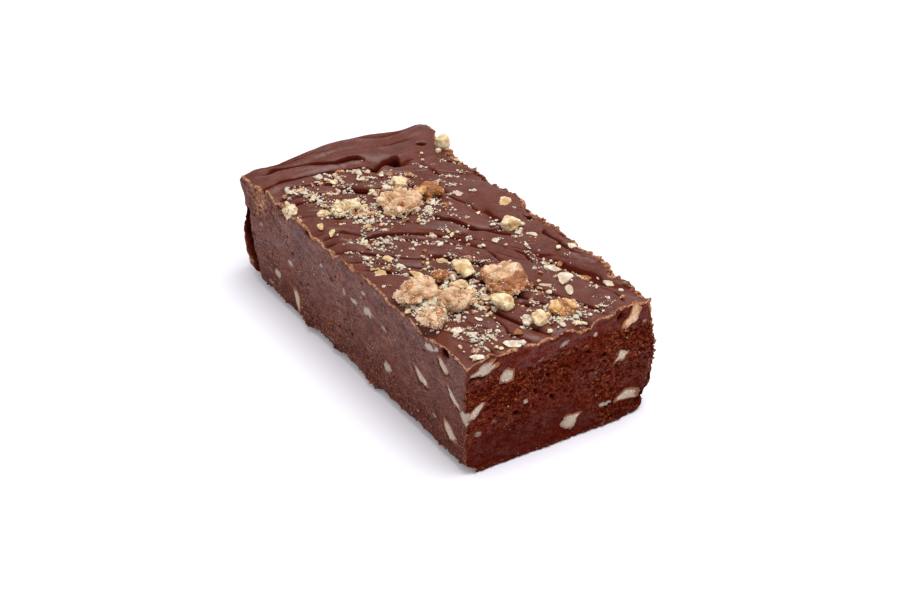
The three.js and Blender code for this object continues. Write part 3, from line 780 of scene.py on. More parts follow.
# %% Fudge finishes
def fudge_finish(name, body, pale, lip, gloss, shine, streak, grain, speckle=0.5, even=0.0):
    """body, pale and lip are colours, gloss and shine the weight and the roughness of the butter's film.

    streak stretches the noise, grain is the strength of the fine bump, speckle the share of pale grains,
    and even how evenly the film lies, from 0 in patches to 1.
    """
    f = Finish(name, Specular_IOR_Level=0.0, IOR=1.47, Coat_Roughness=shine)
    torn, hollow, grainy = f.attribute("torn"), f.attribute("hollow"), f.attribute("grainy")
    cloud = f.noise(6, 3)
    drag = f.noise(0.9, 3, streak)
    fine = f.noise(0.35, 2)
    tear = f.noise(0.5, 3, streak, 0.7) + 0.25 * (f.noise(4, 2) - 0.5)
    colour = f.mix((cloud * 0.4 + drag * 0.4 + fine * 0.6).between(0.54, 0.86), rgb(body), rgb(pale))
    # Raised parts take the lip colour as a painted highlight; on torn faces the crowns of the grains take it too,
    # partly their own orange-brown and partly painted highlight.
    raised_highlight = (0 - hollow + 0.5 * (fine - 0.5)).between(0.15, 0.9)
    colour = f.mix(raised_highlight * 0.5 + tear.between(0.54, 0.72) * grainy, colour, rgb(lip))
    # Painted shade between the torn grains.
    colour = f.mix((1 - tear.between(0.3, 0.44)) * grainy, colour, rgb("#2c0d07"))
    dots = f.noise(0.5, 1) * 0.75 + f.noise(1.8, 2, streak) * 0.25
    # Painted shade at the foot.
    colour = f.mix(f.attribute("dense") * 0.7, colour, rgb("#45100a"))
    colour = f.mix(dots.between(0.55, 0.63) * grainy * speckle, colour, rgb(lip))
    # Dark dots: painted shade in tiny pits.
    colour = f.mix((1 - dots.between(0.4, 0.46)) * grainy * 0.9, colour, rgb("#280a06"))
    crumbly = f.mix((f.noise(0.7, 3) + 0.3 * (drag - 0.5)).between(0.35, 0.65), rgb("#8a5238"), rgb("#c89a78"))
    colour = f.mix((torn * (0.55 + f.noise(1.1, 3))).between(0.35, 0.75), colour, crumbly)
    # Painted shade: darker in creases, pits, broad valleys, the crack's groove and the hole a nut left, darkest
    # where deepest.
    colour = f.mix(hollow.between(0.12, 0.6) * 0.8, colour, rgb("#430f08"))
    colour = f.mix(hollow.between(0.65, 1.05), colour, rgb("#240502"))
    nut = f.attribute("smear") * (0.25 + 1.2 * f.noise(0.7, 3, streak, 0.7)) + 0.3 * (f.noise(0.35, 2) - 0.5)
    speck = (1 - f.cells(2.3).between(0.08, 0.16)) * f.noise(7, 1).between(0.5, 0.6) * grainy
    nut = (nut + speck * 0.8).between(0.2, 0.8) * (1 - hollow.between(0.4, 0.8)) * 0.85
    colour = f.mix(nut, colour, rgb("#b8a89c"))
    normal = f.bump(fine * grain + drag * 0.35 + torn * f.noise(0.5, 3) + grainy * tear, 0.14)
    film = (f.noise(1.3, 3, streak) * 0.6 + fine * 0.4).between(0.38, 0.62) * (1 - hollow.between(-0.1, 0.3))
    film = even * (1 - hollow.between(0.1, 0.5)) + (1 - even) * film
    film = gloss * f.attribute("sheen") * film * (1 - torn)
    return f.wear(Base_Color=colour, Coat_Weight=film, Normal=normal)


print("finishes before the fudge's:", len(bpy.data.materials))

# %% [markdown]
# ## Six fudge finishes
# The top is glossiest, and its noise is drawn out along the strokes. The front has fine streaks along the
# cut. The near end is dark with orange-brown grains. The two broken sides have hardly any gloss.

# %% Six fudge finishes
# body, pale, lip, gloss, shine, streak, grain, speckle, even
fudge_finishes = [
    fudge_finish("fudge_spread_top", "#562519", "#6a3528", "#7a4839", 1.0, 0.38, (0.4, 0.4, 1), 0.2, 0, 0.6),
    fudge_finish("fudge_cut_front", "#4e1e17", "#70392e", "#ac7654", 1.15, 0.42, (0.5, 1, 1), 0.9, 0.5, 0.4),
    fudge_finish("fudge_torn_end", "#4a0e06", "#622115", "#a6623a", 0.9, 0.42, (0.7, 0.5, 1), 0.9, 0.3),
    fudge_finish("fudge_broken_back", "#50221a", "#6f3a2a", "#925a3c", 0.4, 0.5, (1, 1, 1), 1.2),
    fudge_finish("fudge_broken_end", "#50231a", "#6f3a2a", "#925a3c", 0.4, 0.5, (1, 1, 1), 1.2),
    fudge_finish("fudge_base", "#4a241c", "#5a2e24", "#6a4030", 0.4, 0.5, (1, 1, 1), 0.5),
]
print([finish.name for finish in fudge_finishes])

# %% [markdown]
# ## Hollow and raised: painted shade and highlight
# Six numbers go with each point of the skin, and the finishes read them. The first, how hollow a point lies,
# compares its height with the mean height around it. It is above zero in creases and pits, where the finish
# paints shade, and below zero on lips, where it paints a highlight. A sliding mean over the grid is enough for
# that. On the top, a wider mean adds the broad valleys, and the creases bring their own painted shade, since
# they are too narrow for the mean.


# %% Hollow
def sliding_mean(values, reach):
    """The mean of a grid's values over a square of neighbours, along each axis in turn."""
    kernel = np.ones(2 * reach + 1) / (2 * reach + 1)
    for axis in (0, 1):
        padded = np.apply_along_axis(np.pad, axis, values, reach, mode="edge")
        values = np.apply_along_axis(np.convolve, axis, padded, kernel, mode="valid")
    return values


def hollowness(side, reach):
    """Which points a side has, and how far in mm each lies below the mean around it."""
    fixed, level = SIDES[side]
    spots = np.nonzero(grid_places[:, fixed] == (grid_places[:, fixed].max() if level else 0))[0]
    first, second = [a for a in (0, 1, 2) if a != fixed]
    shape = grid_places[spots][:, [first, second]].max(axis=0) + 1
    grid = np.zeros(shape)
    rows, columns = grid_places[spots, first], grid_places[spots, second]
    grid[rows, columns] = skin_points[spots, fixed] * (1 if level else -1)
    return spots, (sliding_mean(grid, reach) - grid)[rows, columns]


hollow = np.zeros(len(skin_points))
# For each upright side: how many squares the mean reaches, and the depth in mm that counts as 1.
for side, reach, full in (("back", 5, 0.9), ("far_end", 5, 0.9), ("front", 4, 0.4), ("near_end", 4, 0.45)):
    spots, depth = hollowness(side, reach)
    hollow[spots] = depth / full
spots, depth = hollowness("top", 7)
depth = (0.8 * depth + np.clip(0.45 * hollowness("top", 20)[1], -0.3, 0.22)) / 0.75
x, y = box_points[spots, 0], box_points[spots, 1]
depth = depth * (0.3 + 0.7 * ease(0.5, 3.5, np.minimum(WIDTH / 2 + y, LENGTH / 2 - x)))
# The creases' painted shade joins the top's hollows.
hollow[spots] = np.maximum(depth, creased(x, y)[1])
hollow = np.clip(hollow, -1, 1)
print("hollow over", (hollow > 0.5).mean().round(3), "of the points")
print("raised over", (hollow < -0.5).mean().round(3))

# %% [markdown]
# ## Where it tore
# Fudge that broke instead of being cut is pale and crumbly. `torn` is high along the cut edges, at the
# crumbled foot and over the broken sides. Noise breaks every one of these lines up, since no edge crumbles
# evenly. The crack's shadowed groove and the hole that a nut left get painted shade here too, with the hollows.

# %% Torn
bx, by, bz = box_points.T
on_front, on_end = by < -WIDTH / 2 + 0.01, bx > LENGTH / 2 - 0.01
from_top = HEIGHT - bz
broken_up = ease(0.15, 0.45, noise(bx / 2.2, by / 2.2, 61) * 0.6 + noise(bx / 0.7, by / 0.7, 62) * 0.4)
line = 0.25 + 0.8 * noise(bx / 2.6, by / 2.6, 63) ** 2
edge_y = bell((WIDTH / 2 + by) / line) * bell(from_top / line)
edge_x = bell((LENGTH / 2 - bx) / line) * bell(from_top / line)
edge_back = bell((WIDTH / 2 - by) / (2.6 * noise(bx / 3, by / 3, 64))) * ease(6, 1, from_top)
edge_back = edge_back * (0.45 + 0.55 * ease(-5, 25, bx))
corner = bell(np.hypot(LENGTH / 2 - bx, WIDTH / 2 + by) / 0.3)
foot = ease(2.6, 0.8, bz) * (bz > 0) * (on_front | on_end)
groove, lump = crack_parts(bx, bz)
patch = on_front * bell((bx - CRUMBLED_AT) / CRUMBLED_WIDE) * ease(14, 24, bz + 3 * rough(bx / 4, bz / 4, 65))
far_side = ease(-LENGTH / 2 + 0.5, -LENGTH / 2, bx) * ease(27, 22, bz)
back_side = ease(WIDTH / 2 - 0.5, WIDTH / 2, by)
# A band beside the crack's edge, where its groove lies in shadow: painted shade, which also keeps the crumbly
# colour off it.
shade = on_front * ease(20.5, 18, bz) * bell((bx - crack_edge(bz) + 1.9) / 1.9) * (bx < crack_edge(bz) + 0.1)
torn = broken_up * (edge_y + edge_x + edge_back) + 0.5 * corner + 0.35 * foot + 0.5 * on_front * lump
patchy = 0.1 + 0.9 * noise((bx + by) / 7, bz / 5, 75) * noise((bx - by) / 3, bz / 3, 76)
torn = torn + 0.55 * patch + (far_side + back_side) * patchy
torn = np.clip(torn, 0, 1) * (1 - np.clip(1.6 * shade, 0, 1))
hollow = np.where(on_front, np.maximum(hollow * (1 - 0.8 * lump), np.clip(1.1 * shade, 0, 1)), hollow)
# Painted shade in the hole that a nut left under the top edge.
hole_shade = on_front * ease(1.2, 0.8, np.hypot((bx - HOLE_AT - 0.1) / 1.6, (bz - HOLE_LEVEL - 0.1) / 1.1))
hollow = np.maximum(hollow, hole_shade)
print("torn over", (torn > 0.5).mean().round(3), "of the points")

# %% [markdown]
# ## Grain, sheen and shade at the foot
# `grainy` says where the cut tore up fine grains, orange-brown on their crowns, partly as a painted highlight,
# and painted dark between them as shade. `sheen` is how much of the butter's film is left: most on the top, least
# low on the cut faces. The third number is painted shade at the foot, darker towards the bottom of the near end
# and the front. All three vary slowly, in patches of some millimetres.

# %% Grainy
grains_end = (1 - 0.85 * smeared(by, bz)) * (1 - 0.7 * calmed(by, bz)) * (0.25 + 1.2 * noise(by / 5, bz / 4, 67))
grains_front = 0.5 + 0.45 * ease(16, 1, bz + 6 * rough(bx / 7, bz / 6, 68)) + 0.9 * rough(bx / 5, bz / 4, 69)
grainy = np.clip(on_end * grains_end + on_front * grains_front + 0.5 * far_side + 0.6 * back_side, 0, 1)
print("mean grain of the front", grainy[on_front].mean().round(2), "and the end", grainy[on_end].mean().round(2))

# %% Sheen
sheen = np.where(on_front, 0.26 + 0.44 * ease(2, 26, bz - 0.06 * bx + 9 * rough(bx / 9, bz / 6, 70)), 0.9)
sheen = np.where(on_end, 0.2 + 0.45 * smeared(by, bz) + 0.7 * rough(by / 7, bz / 4, 72), sheen)
sheen = np.clip(sheen, 0, 1)
# Painted shade at the foot, darker towards the bottom of the near end and the front.
dense = on_end * ease(12, 5, bz + 5 * rough(by / 8, bz / 6, 74)) + 0.6 * on_front * ease(13, 4, bz - 0.05 * bx)
dense = np.clip(dense, 0, 1)
print("sheen from", sheen.min().round(2), "to", sheen.max().round(2))
print("dense over", (dense > 0.5).mean().round(3), "of the points")

# %% [markdown]
# ## Smears of nut
# The knife dragged pale nut over the cut faces, and some nuts barely show under a skin of fudge. `smear`
# marks these: each is a soft oval with a ragged rim, placed one by one, since there are only some thirty.

# %% Smears of nut
# For each side: place along it, height, half sizes and strength.
SMEARS = {
    "front": [
        (9.0, 20.6, 2.1, 1.3, 1.0), (2.3, 20.3, 1.6, 0.8, 0.9), (-2.3, 20.2, 1.1, 1.0, 0.7),
        (16.0, 19.9, 1.5, 0.7, 0.7), (17.4, 9.8, 1.7, 1.6, 0.9), (8.2, 10.2, 1.0, 0.5, 0.5),
        (11.5, 12.4, 2.2, 1.4, 0.35), (-35.3, 8.2, 1.4, 1.2, 0.9), (-39.2, 3.9, 1.4, 0.8, 0.7),
        (-39.8, 7.4, 1.9, 0.6, 0.5), (-28.5, 14.9, 1.3, 0.8, 0.9), (-43.4, 18.5, 1.0, 0.8, 0.6),
        (7.0, 24.6, 1.2, 0.6, 0.8), (27.8, 21.2, 1.4, 1.0, 0.3), (-8.6, 3.4, 2.0, 0.5, 0.5),
        (-13.0, 22.4, 0.6, 0.5, 0.8), (-12.4, 20.6, 0.7, 0.5, 0.8), (-5.0, 8.2, 3.2, 0.8, 0.3),
        (36.0, 27.2, 1.7, 1.4, 1.0), (38.8, 27.2, 1.0, 0.8, 1.0), (38.0, 8.2, 1.0, 0.7, 0.6),
        (50.2, 15.2, 1.3, 1.6, 1.6),
    ],
    "near_end": [
        (-24.5, 15.0, 1.2, 1.5, 1.6), (12.6, 5.3, 1.8, 0.6, 0.9), (0.8, 26.2, 1.4, 0.7, 0.7),
        (-5.6, 24.2, 1.2, 0.9, 0.4), (9.2, 25.8, 0.7, 0.8, 0.9), (-21.8, 9.9, 1.1, 0.8, 0.7),
        (-17.6, 11.4, 0.8, 0.7, 0.5), (9.6, 15.2, 0.8, 0.5, 0.5), (-9.2, 13.9, 0.6, 0.5, 1.0),
        (22.6, 24.4, 0.8, 0.5, 0.7),
    ],
}
smear = np.zeros(len(skin_points))
for side, smears in SMEARS.items():
    on_side, across = (on_front, bx) if side == "front" else (on_end, by)
    for at, level, half_across, half_up, strength in smears:
        u, v = (across - at) / half_across, (bz - level) / half_up
        ragged = 1 + 0.7 * rough(across / 0.9 + at, bz / 0.7, 66, 2)
        smear = np.maximum(smear, on_side * strength * ease(1.4, 0.5, np.hypot(u, v) * ragged))
    print(len(smears), "smears of nut on the", side)

# %% [markdown]
# ## The bar's mesh
# The five faces' squares and one flat base close the bar. The fine grid is needed where the relief is sharp,
# and it is far more than the smooth parts need, so a Decimate modifier thins it where nothing bends.

# %% The bar's mesh
MOST_TRIANGLES = 197000
on_base = np.nonzero(grid_places[:, 2] == 0)[0]
turn_of = np.arctan2(box_points[on_base, 1] / WIDTH, box_points[on_base, 0] / LENGTH)
base_face = on_base[np.argsort(-turn_of)]
faces = quads.tolist() + [base_face.tolist()]
finish_of_face = np.append(side_of_quad, len(SIDES))
bar = make_piece(
    "fudge_bar", skin_points, faces, fudge_finishes, finish_of_face, True,
    torn=torn, hollow=hollow, grainy=grainy, smear=smear, sheen=sheen, dense=dense,
)
thin_out = bar.modifiers.new("thin_out", "DECIMATE")
thin_out.ratio = MOST_TRIANGLES / (2 * len(quads) + len(on_base))
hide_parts("fudge")
print("the bar has", len(bar.data.polygons), "faces before thinning")

# %% [markdown]
# ## Walnut
# A walnut kernel is cream inside, under a thin skin that is amber to brown and finely wrinkled. Where a
# chopped piece broke, the cream flesh shows, matt and a little crumbly, and its own dust clings to it. Three
# attributes steer the finish: `skin` says how much of the skin is left, `tone` tells the crumbs apart, and
# `high` is 1 on a piece's crowns, where the dust sits, and 0 in its hollows, where the colour is darker.


# %% Walnut finishes
def walnut_finish(name, flesh, deep, skin_pale, skin_dark, shine=0.42):
    """flesh and deep are the colours inside, on crowns and in hollows; the skin has a pale and a dark one."""
    f = Finish(name, Specular_IOR_Level=0.45, Subsurface_Weight=0.2, Subsurface_Scale=0.0012)
    skin, tone, high = f.attribute("skin"), f.attribute("tone"), f.attribute("high")
    grain = f.noise(0.4, 3)
    blotch = f.noise(2.0, 3)
    inside = (high * 0.4 + grain * 0.3 + tone * 0.3 + blotch * 0.5).between(0.4, 1.05)
    inside = f.mix(inside, rgb(deep), rgb(flesh))
    rind = (blotch * 0.8 + high * 0.4 + 0.4 * (grain - 0.5)).between(0.3, 0.9)
    rind = f.mix(rind, rgb(skin_dark), rgb(skin_pale))
    share = (skin + 0.6 * (grain - 0.5) - 0.2 * (high - 0.5)).between(0.35, 0.6)
    colour = f.mix(share, inside, rind)
    dusted = (high * 0.3 + f.noise(0.5, 3) + 0.3 * (f.noise(2.5, 2) - 0.5)).between(0.78, 0.9)
    colour = f.mix(dusted * 0.6, colour, rgb("#efe0cd"))
    wrinkle = f.cells(1.1, feature="DISTANCE_TO_EDGE").between(0.0, 0.3)
    normal = f.bump(grain * 0.6 + 0.5 * f.noise(0.18, 2) + share * wrinkle, 0.1)
    roughness = shine + 0.3 * dusted + 0.2 * (grain - 0.5)
    return f.wear(Base_Color=colour, Roughness=roughness, Normal=normal)


WALNUTS = {
    "pale": walnut_finish("walnut_pale", "#ecd9ae", "#bf9562", "#d29c5e", "#a0622e"),
    "tan": walnut_finish("walnut_tan", "#deb890", "#a9754a", "#bc7c48", "#8a4c22"),
    "amber": walnut_finish("walnut_amber", "#dcae70", "#b3742c", "#b26c22", "#7a4210", 0.36),
    "dust": walnut_finish("walnut_dust", "#e6d8c6", "#bfa78e", "#c0916a", "#8d5b3a", 0.6),
    "cut": walnut_finish("walnut_cut", "#bfae9b", "#947a66", "#a05c2c", "#6e3816", 0.5),
}
print(list(WALNUTS))

# %% [markdown]
# ## The larger nuts
# Each nut's solid in the frame is a coarse, faceted lump in its true place. Dividing its faces and rounding
# them with a Subdivision Surface modifier gives a smooth pebble, which shrinks a little, so it is stretched
# back to the solid's own box.


# %% A pebble from a solid
def refined(node_name, levels):
    """The points and triangles of a node's solid, divided and rounded, in mm from the bar's middle."""
    work = bmesh.new()
    work.from_mesh(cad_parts[node_name].data)
    bmesh.ops.remove_doubles(work, verts=work.verts, dist=1e-6)
    mesh = bpy.data.meshes.new("work")
    work.to_mesh(mesh)
    work.free()
    carrier = put("work", mesh)
    carrier.modifiers.new("divide", "SUBSURF").levels = levels
    smooth = carrier.evaluated_get(bpy.context.evaluated_depsgraph_get()).to_mesh()
    points = np.array([v.co[:] for v in smooth.vertices]) / MM - BAR_MIDDLE
    faces = [tuple(p.vertices) for p in smooth.polygons]
    bpy.data.objects.remove(carrier)
    bpy.data.meshes.remove(mesh)
    low, high = (np.array(corner[:]) / MM - BAR_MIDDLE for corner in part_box(node_name))
    points = low + (points - points.min(axis=0)) * (high - low) / np.ptp(points, axis=0)
    return points, faces, (low + high) / 2, high - low


print("the first nut's solid is", np.round(refined("walnut_topping_1", 1)[3], 1), "mm")

# %% [markdown]
# ## Broken relief
# Relief in space makes the pebble a broken kernel. Folded noise gives the lobes, scattered centres give the
# crumbly flesh, strong where a nut was crushed to a heap and weak where it is whole, and flat breaks cut
# some of the lobes off.


# %% Broken relief
def broken_relief(away, seed, lobes, crush):
    """The height in mm of lobes and chips over points of a nut, measured from its middle."""
    lobed = np.abs(2 * noise3(away / 4.2 + 7, seed) - 1) ** 0.6
    nearest, second, number = pebbles(away / 1.6 + 40, seed + 1)
    chips = 0.8 * (number - 0.5) - 0.5 * ease(0.18, 0.0, second - nearest)
    fine = noise3(away / 0.7 + 11, seed + 2) - 0.5
    height = lobes * (lobed - 0.55) + crush * chips + (0.15 + 0.4 * crush) * fine
    folded = np.abs(2 * noise3(away / 1.9 + 15, seed + 3) - 1) ** 0.6
    return height + 0.65 * lobes * (folded - 0.55), number


def chipped(unit, rng, cuts, nearest, farthest):
    """Breaks flat faces off a nut of half size 1, and says where its skin is left."""
    skin = np.full(len(unit), 1.0)
    for _ in range(cuts):
        face = rng.normal(size=3)
        face /= np.linalg.norm(face)
        over = np.clip(unit @ face - rng.uniform(nearest, farthest), 0, None)
        unit = unit - over[:, None] * face * 0.9
        skin = np.minimum(skin, 1 - np.clip(over / 0.04, 0, 1))
    return unit, skin


print("relief at a corner:", broken_relief(np.ones((1, 3)), 4, 1.5, 0.25)[0].round(2), "mm")

# %% [markdown]
# ## A kernel
# Now the parts come together: pebble, breaks and relief. What stands highest turns pale and dusty, what was
# broken flat has lost its skin, and the piece takes the place of its solid in the frame.


# %% A kernel
def kernel(node_name, kind, seed, skin_share, levels, lobes, crush):
    """Replaces a nut's solid by a broken kernel, and gives its points."""
    points, faces, middle, size = refined(node_name, levels)
    unit = (points - middle) / (size / 2)
    # Halfway from the pebble to a box with rounded corners, so that the nut fills its solid's box.
    radius = np.linalg.norm(unit, axis=1)[:, None]
    boxy = radius / (np.abs(unit) ** 3).sum(axis=1)[:, None] ** (1 / 3)
    unit = unit * (0.5 + 0.5 * np.clip(0.95 * boxy / radius, 0.8, 1.5))
    cuts, nearest = {"pale": (9, 0.65), "tan": (5, 0.72), "amber": (3, 0.8)}[kind]
    unit, skin = chipped(unit, np.random.default_rng(seed), cuts, nearest, 0.95)
    away = unit * size / 2
    height, number = broken_relief(away, seed, lobes, crush)
    outward = unit / size
    outward /= np.linalg.norm(outward, axis=1)[:, None]
    away = away + height[:, None] * outward
    if "slice" in node_name:  # the knife that cut the front went through it
        away[:, 1] = np.maximum(away[:, 1], points[:, 1].min() - middle[1])
    patchy = noise3(away / 2.4 + 3, seed + 3)
    skin = skin * ease(0.62, 0.5, patchy - (skin_share - 0.5))
    high = np.clip(0.5 + (height - height.mean()) / (3 * height.std()), 0, 1)
    piece = make_piece(
        node_name.replace("walnut", "kernel"), middle + away, faces, [WALNUTS[kind]],
        skin=skin, tone=number, high=high,
    )
    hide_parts(node_name)
    return middle + away


print("kinds of walnut:", ", ".join(WALNUTS))

# %% [markdown]
# ## The sixteen toppings
# The nuts on top differ in kind. Some are whole and keep their brown skin, some are clean pale chips, and
# the heap on the left was crushed. The sliced nut that lies across the front's top edge is made the same
# way, because most of it is seen from above.

# %% The sixteen toppings
# For each topping: its finish, its seed, how much skin it keeps, how finely it is divided, how strong its
# lobes are and how far it is crushed, both in mm.
TOPPINGS = [
    ("tan", 4, 0.9, 4, 1.5, 0.25), ("pale", 5, 0.1, 3, 0.6, 0.05), ("pale", 8, 0.15, 3, 0.6, 0.1),
    ("amber", 11, 0.75, 3, 0.9, 0.15), ("pale", 14, 0.1, 3, 0.5, 0.1), ("tan", 17, 0.35, 4, 1.4, 0.2),
    ("tan", 20, 0.1, 4, 1.6, 0.45), ("tan", 23, 0.4, 4, 1.0, 0.2), ("pale", 26, 0.1, 3, 0.4, 0.05),
    ("amber", 29, 1.0, 3, 0.9, 0.2), ("tan", 32, 0.1, 4, 1.4, 0.8), ("pale", 35, 0.15, 4, 1.3, 1.1),
    ("pale", 38, 0.1, 3, 0.6, 0.15), ("pale", 41, 0.1, 3, 0.5, 0.1), ("amber", 83, 0.8, 3, 0.8, 0.3),
    ("pale", 86, 0.1, 3, 0.5, 0.2),
]
nut_points = [kernel(f"walnut_topping_{n}", *facts) for n, facts in enumerate(TOPPINGS, 1)]
nut_points.append(kernel("walnut_slice_6", "pale", 59, 0.25, 4, 0.9, 0.4))
print(len(nut_points), "nuts lie on top")

# %% [markdown]
# ## The sliced nuts
# The knife went clean through the nuts inside the bar, so each shows a flat slice in the cut face: greyish
# cream flesh with an amber line of skin along parts of its outline. Each is a flat cap of rings inside the
# outline, whose rim turns in and runs back into the bar, tapering.


# %% Slices
def slice_kernel(cut, kind):
    """Replaces a sliced nut's solid by a cap that lies in the cut face."""
    turns = np.linspace(0, 2 * np.pi, 72, endpoint=False)
    rings = [(0.15, 0.0), (0.3, 0.0), (0.45, 0.0), (0.6, 0.0), (0.72, 0.0), (0.82, 0.0), (0.9, 0.01)]
    rings += [(0.96, 0.05), (1.0, 0.16), (1.0, 0.4), (0.96, 0.9), (0.85, 1.6), (0.6, 2.3), (0.3, 2.5)]
    share = np.repeat([r[0] for r in rings], len(turns))
    depth = np.repeat([r[1] for r in rings], len(turns))
    turn = np.tile(turns, len(rings))
    out = share * cut.outline(turn)
    across, up = cut.place(out * np.cos(turn), out * np.sin(turn)).T
    middle = cut.place(np.zeros(2), np.zeros(2)).T
    across, up = np.append(across, middle[0]), np.append(up, middle[1])
    depth = np.append(depth, [0.0, 2.6]) + 0.1 * noise(across / 0.9, up / 0.9, cut.seed) + 0.02
    share, turn = np.append(share, [0.0, 0.0]), np.append(turn, [0.0, 0.0])
    if cut.side == "front":
        points = np.stack([across, -WIDTH / 2 - 0.12 + depth, up], axis=1)
    else:
        points = np.stack([LENGTH / 2 + 0.12 - depth, across, up], axis=1)
    count = len(turns)
    k = np.arange(count)
    faces = []
    for ring in range(len(rings) - 1):
        a, b = ring * count + k, ring * count + (k + 1) % count
        faces += np.stack([a, a + count, b + count, b], axis=1).tolist()
    first, last = len(rings) * count, (len(rings) - 1) * count
    faces += [[first, int(i), int((i + 1) % count)] for i in k]
    faces += [[first + 1, int(last + (i + 1) % count), int(last + i)] for i in k]
    skin_line = ease(0.25, 0.5, noise(np.cos(turn) * 1.2 + 3, np.sin(turn) * 1.2 + 3, cut.seed + 1))
    skin = ease(0.5, 0.8, share) * (0.3 + 0.7 * skin_line) + 0.5 * (depth > 0.3)
    high = 0.75 * ease(1.0, 0.6, share) * np.ones(len(points))
    tone = 0.5 * noise(across / 1.4, up / 1.4, cut.seed + 2)
    piece = make_piece(
        cut.name.replace("walnut", "kernel"), points, faces, [WALNUTS[kind]], skin=skin, tone=tone, high=high
    )
    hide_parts(cut.name)
    return piece


slices = [slice_kernel(cut, "tan" if cut.name.endswith("_13") else "cut") for cut in SLICES]
print(len(slices), "nuts are sliced")

# %% [markdown]
# ## Crumbs and dust
# Chopping leaves crumbs of every size, down to dust. Each crumb is a small angular stone: a ball of 20 or 80
# triangles, turned at random, with its corners pushed in and out.


# %% Crumbs
def ball(divisions):
    """The points and triangles of a ball one unit across."""
    work = bmesh.new()
    bmesh.ops.create_icosphere(work, subdivisions=divisions, radius=0.5)
    points = np.array([v.co[:] for v in work.verts])
    faces = np.array([[v.index for v in f.verts] for f in work.faces])
    work.free()
    return points, faces


def turned(rng, count):
    """Random turns, as matrices."""
    q = rng.normal(size=(count, 4))
    q /= np.linalg.norm(q, axis=1)[:, None]
    w, x, y, z = q.T
    rows = [
        [1 - 2 * (y * y + z * z), 2 * (x * y - z * w), 2 * (x * z + y * w)],
        [2 * (x * y + z * w), 1 - 2 * (x * x + z * z), 2 * (y * z - x * w)],
        [2 * (x * z - y * w), 2 * (y * z + x * w), 1 - 2 * (x * x + y * y)],
    ]
    return np.moveaxis(np.array(rows), 2, 0)


# How far a crumb's corners are pushed in or out, and how much it is flattened, as shares of its size.
JAG, FLATTENED = 0.3, 0.7


def crumbs(places, sizes, seed, divisions=1):
    """Points, faces and each point's crumb number, for crumbs of these sizes at these places."""
    rng = np.random.default_rng(seed)
    base, base_faces = ball(divisions)
    count = len(places)
    shape = base[None] * (1 + JAG * rng.uniform(-1, 1, (count, len(base), 1)))
    shape = shape * rng.uniform((0.8, 0.6, 0.45), (1.3, 1.0, 0.9), (count, 3))[:, None]
    shape = np.einsum("cij,cpj->cpi", turned(rng, count), shape) * np.asarray(sizes)[:, None, None]
    shape[:, :, 2] *= FLATTENED
    points = (shape + np.asarray(places)[:, None]).reshape(-1, 3)
    faces = (base_faces[None] + (np.arange(count) * len(base))[:, None, None]).reshape(-1, 3)
    return points, faces, np.repeat(np.arange(count), len(base))


print("a crumb of dust has", len(ball(1)[1]), "triangles, a larger crumb", len(ball(2)[1]))

# %% [markdown]
# ## Crumbs as one piece
# All the crumbs of one kind are joined into one mesh, which a script fills faster than it could place
# thousands of objects. Each crumb has one number for its tone, so that neighbours differ.


# %% Crumbs as one piece
def joined_crumbs(name, finish, slot, places, sizes, seed, divisions=1, skin=0.0, **more):
    """One piece of crumbs. skin is the share of them that are bits of skin, and more are other attributes."""
    points, faces, number = crumbs(places, sizes, seed, divisions)
    rng = np.random.default_rng(seed + 1)
    skins, tones, highs = rng.random((3, len(places)))
    facts = dict(skin=(skins < skin)[number] * 1.0, tone=tones[number], high=(0.35 + 0.65 * highs)[number])
    facts.update({key: np.full(len(points), value) for key, value in more.items()})
    piece = make_piece(name, points, faces, [finish], smooth=False, **facts)
    print(name, len(places), "crumbs,", len(faces), "triangles")
    return piece


print("crumbs wear the finishes of the nuts:", ", ".join(WALNUTS))

# %% [markdown]
# ## Where the crumbs lie
# The chopped nut was scattered by hand, so it lies in drifts. A drift is a middle, a spread and a weight. A
# clump picks a drift and a place in it, and its crumbs fall close round that place, a few on top of others.
# The dimple stays bare, and the far end nearly so.

# %% Drifts and clumps
# For each drift: its middle, its spread both ways and its weight.
DRIFTS = [
    (-15, -2, 6, 6, 1.0), (-22, -13, 6, 4, 0.9), (-31, 1, 4, 6, 0.7), (-16, -11, 4, 3, 0.7), (-24, 2, 6, 5, 0.6),
    (-30, -16, 5, 4, 0.3), (-10, 4, 4, 5, 0.4), (24, -14, 6, 7, 1.5), (31, -19, 5, 5, 0.9), (17, -8, 6, 5, 0.5),
    (33, -8, 5, 6, 0.5), (44, 4, 4, 5, 0.7), (33, 2, 5, 4, 0.4), (32, 14, 9, 4, 0.7), (44, -16, 5, 6, 0.7),
    (47, 12, 3, 7, 0.4), (1, -19, 8, 4, 0.6), (4, 3, 7, 6, 0.4), (-24, 16, 8, 5, 0.5), (9, 16, 5, 3, 0.4),
    (-36, -12, 4, 8, 0.3), (-6, -14, 6, 5, 0.4), (0, 0, 28, 13, 1.1), (-20, 6, 5, 4, 0.5), (26, -19, 2.5, 3, 1.6),
    (28, -9, 3, 2, 0.6), (47, 4, 2, 3, 0.5), (-34, -18, 3, 3, 0.3), (25, -13, 2.5, 3, 1.0),
]


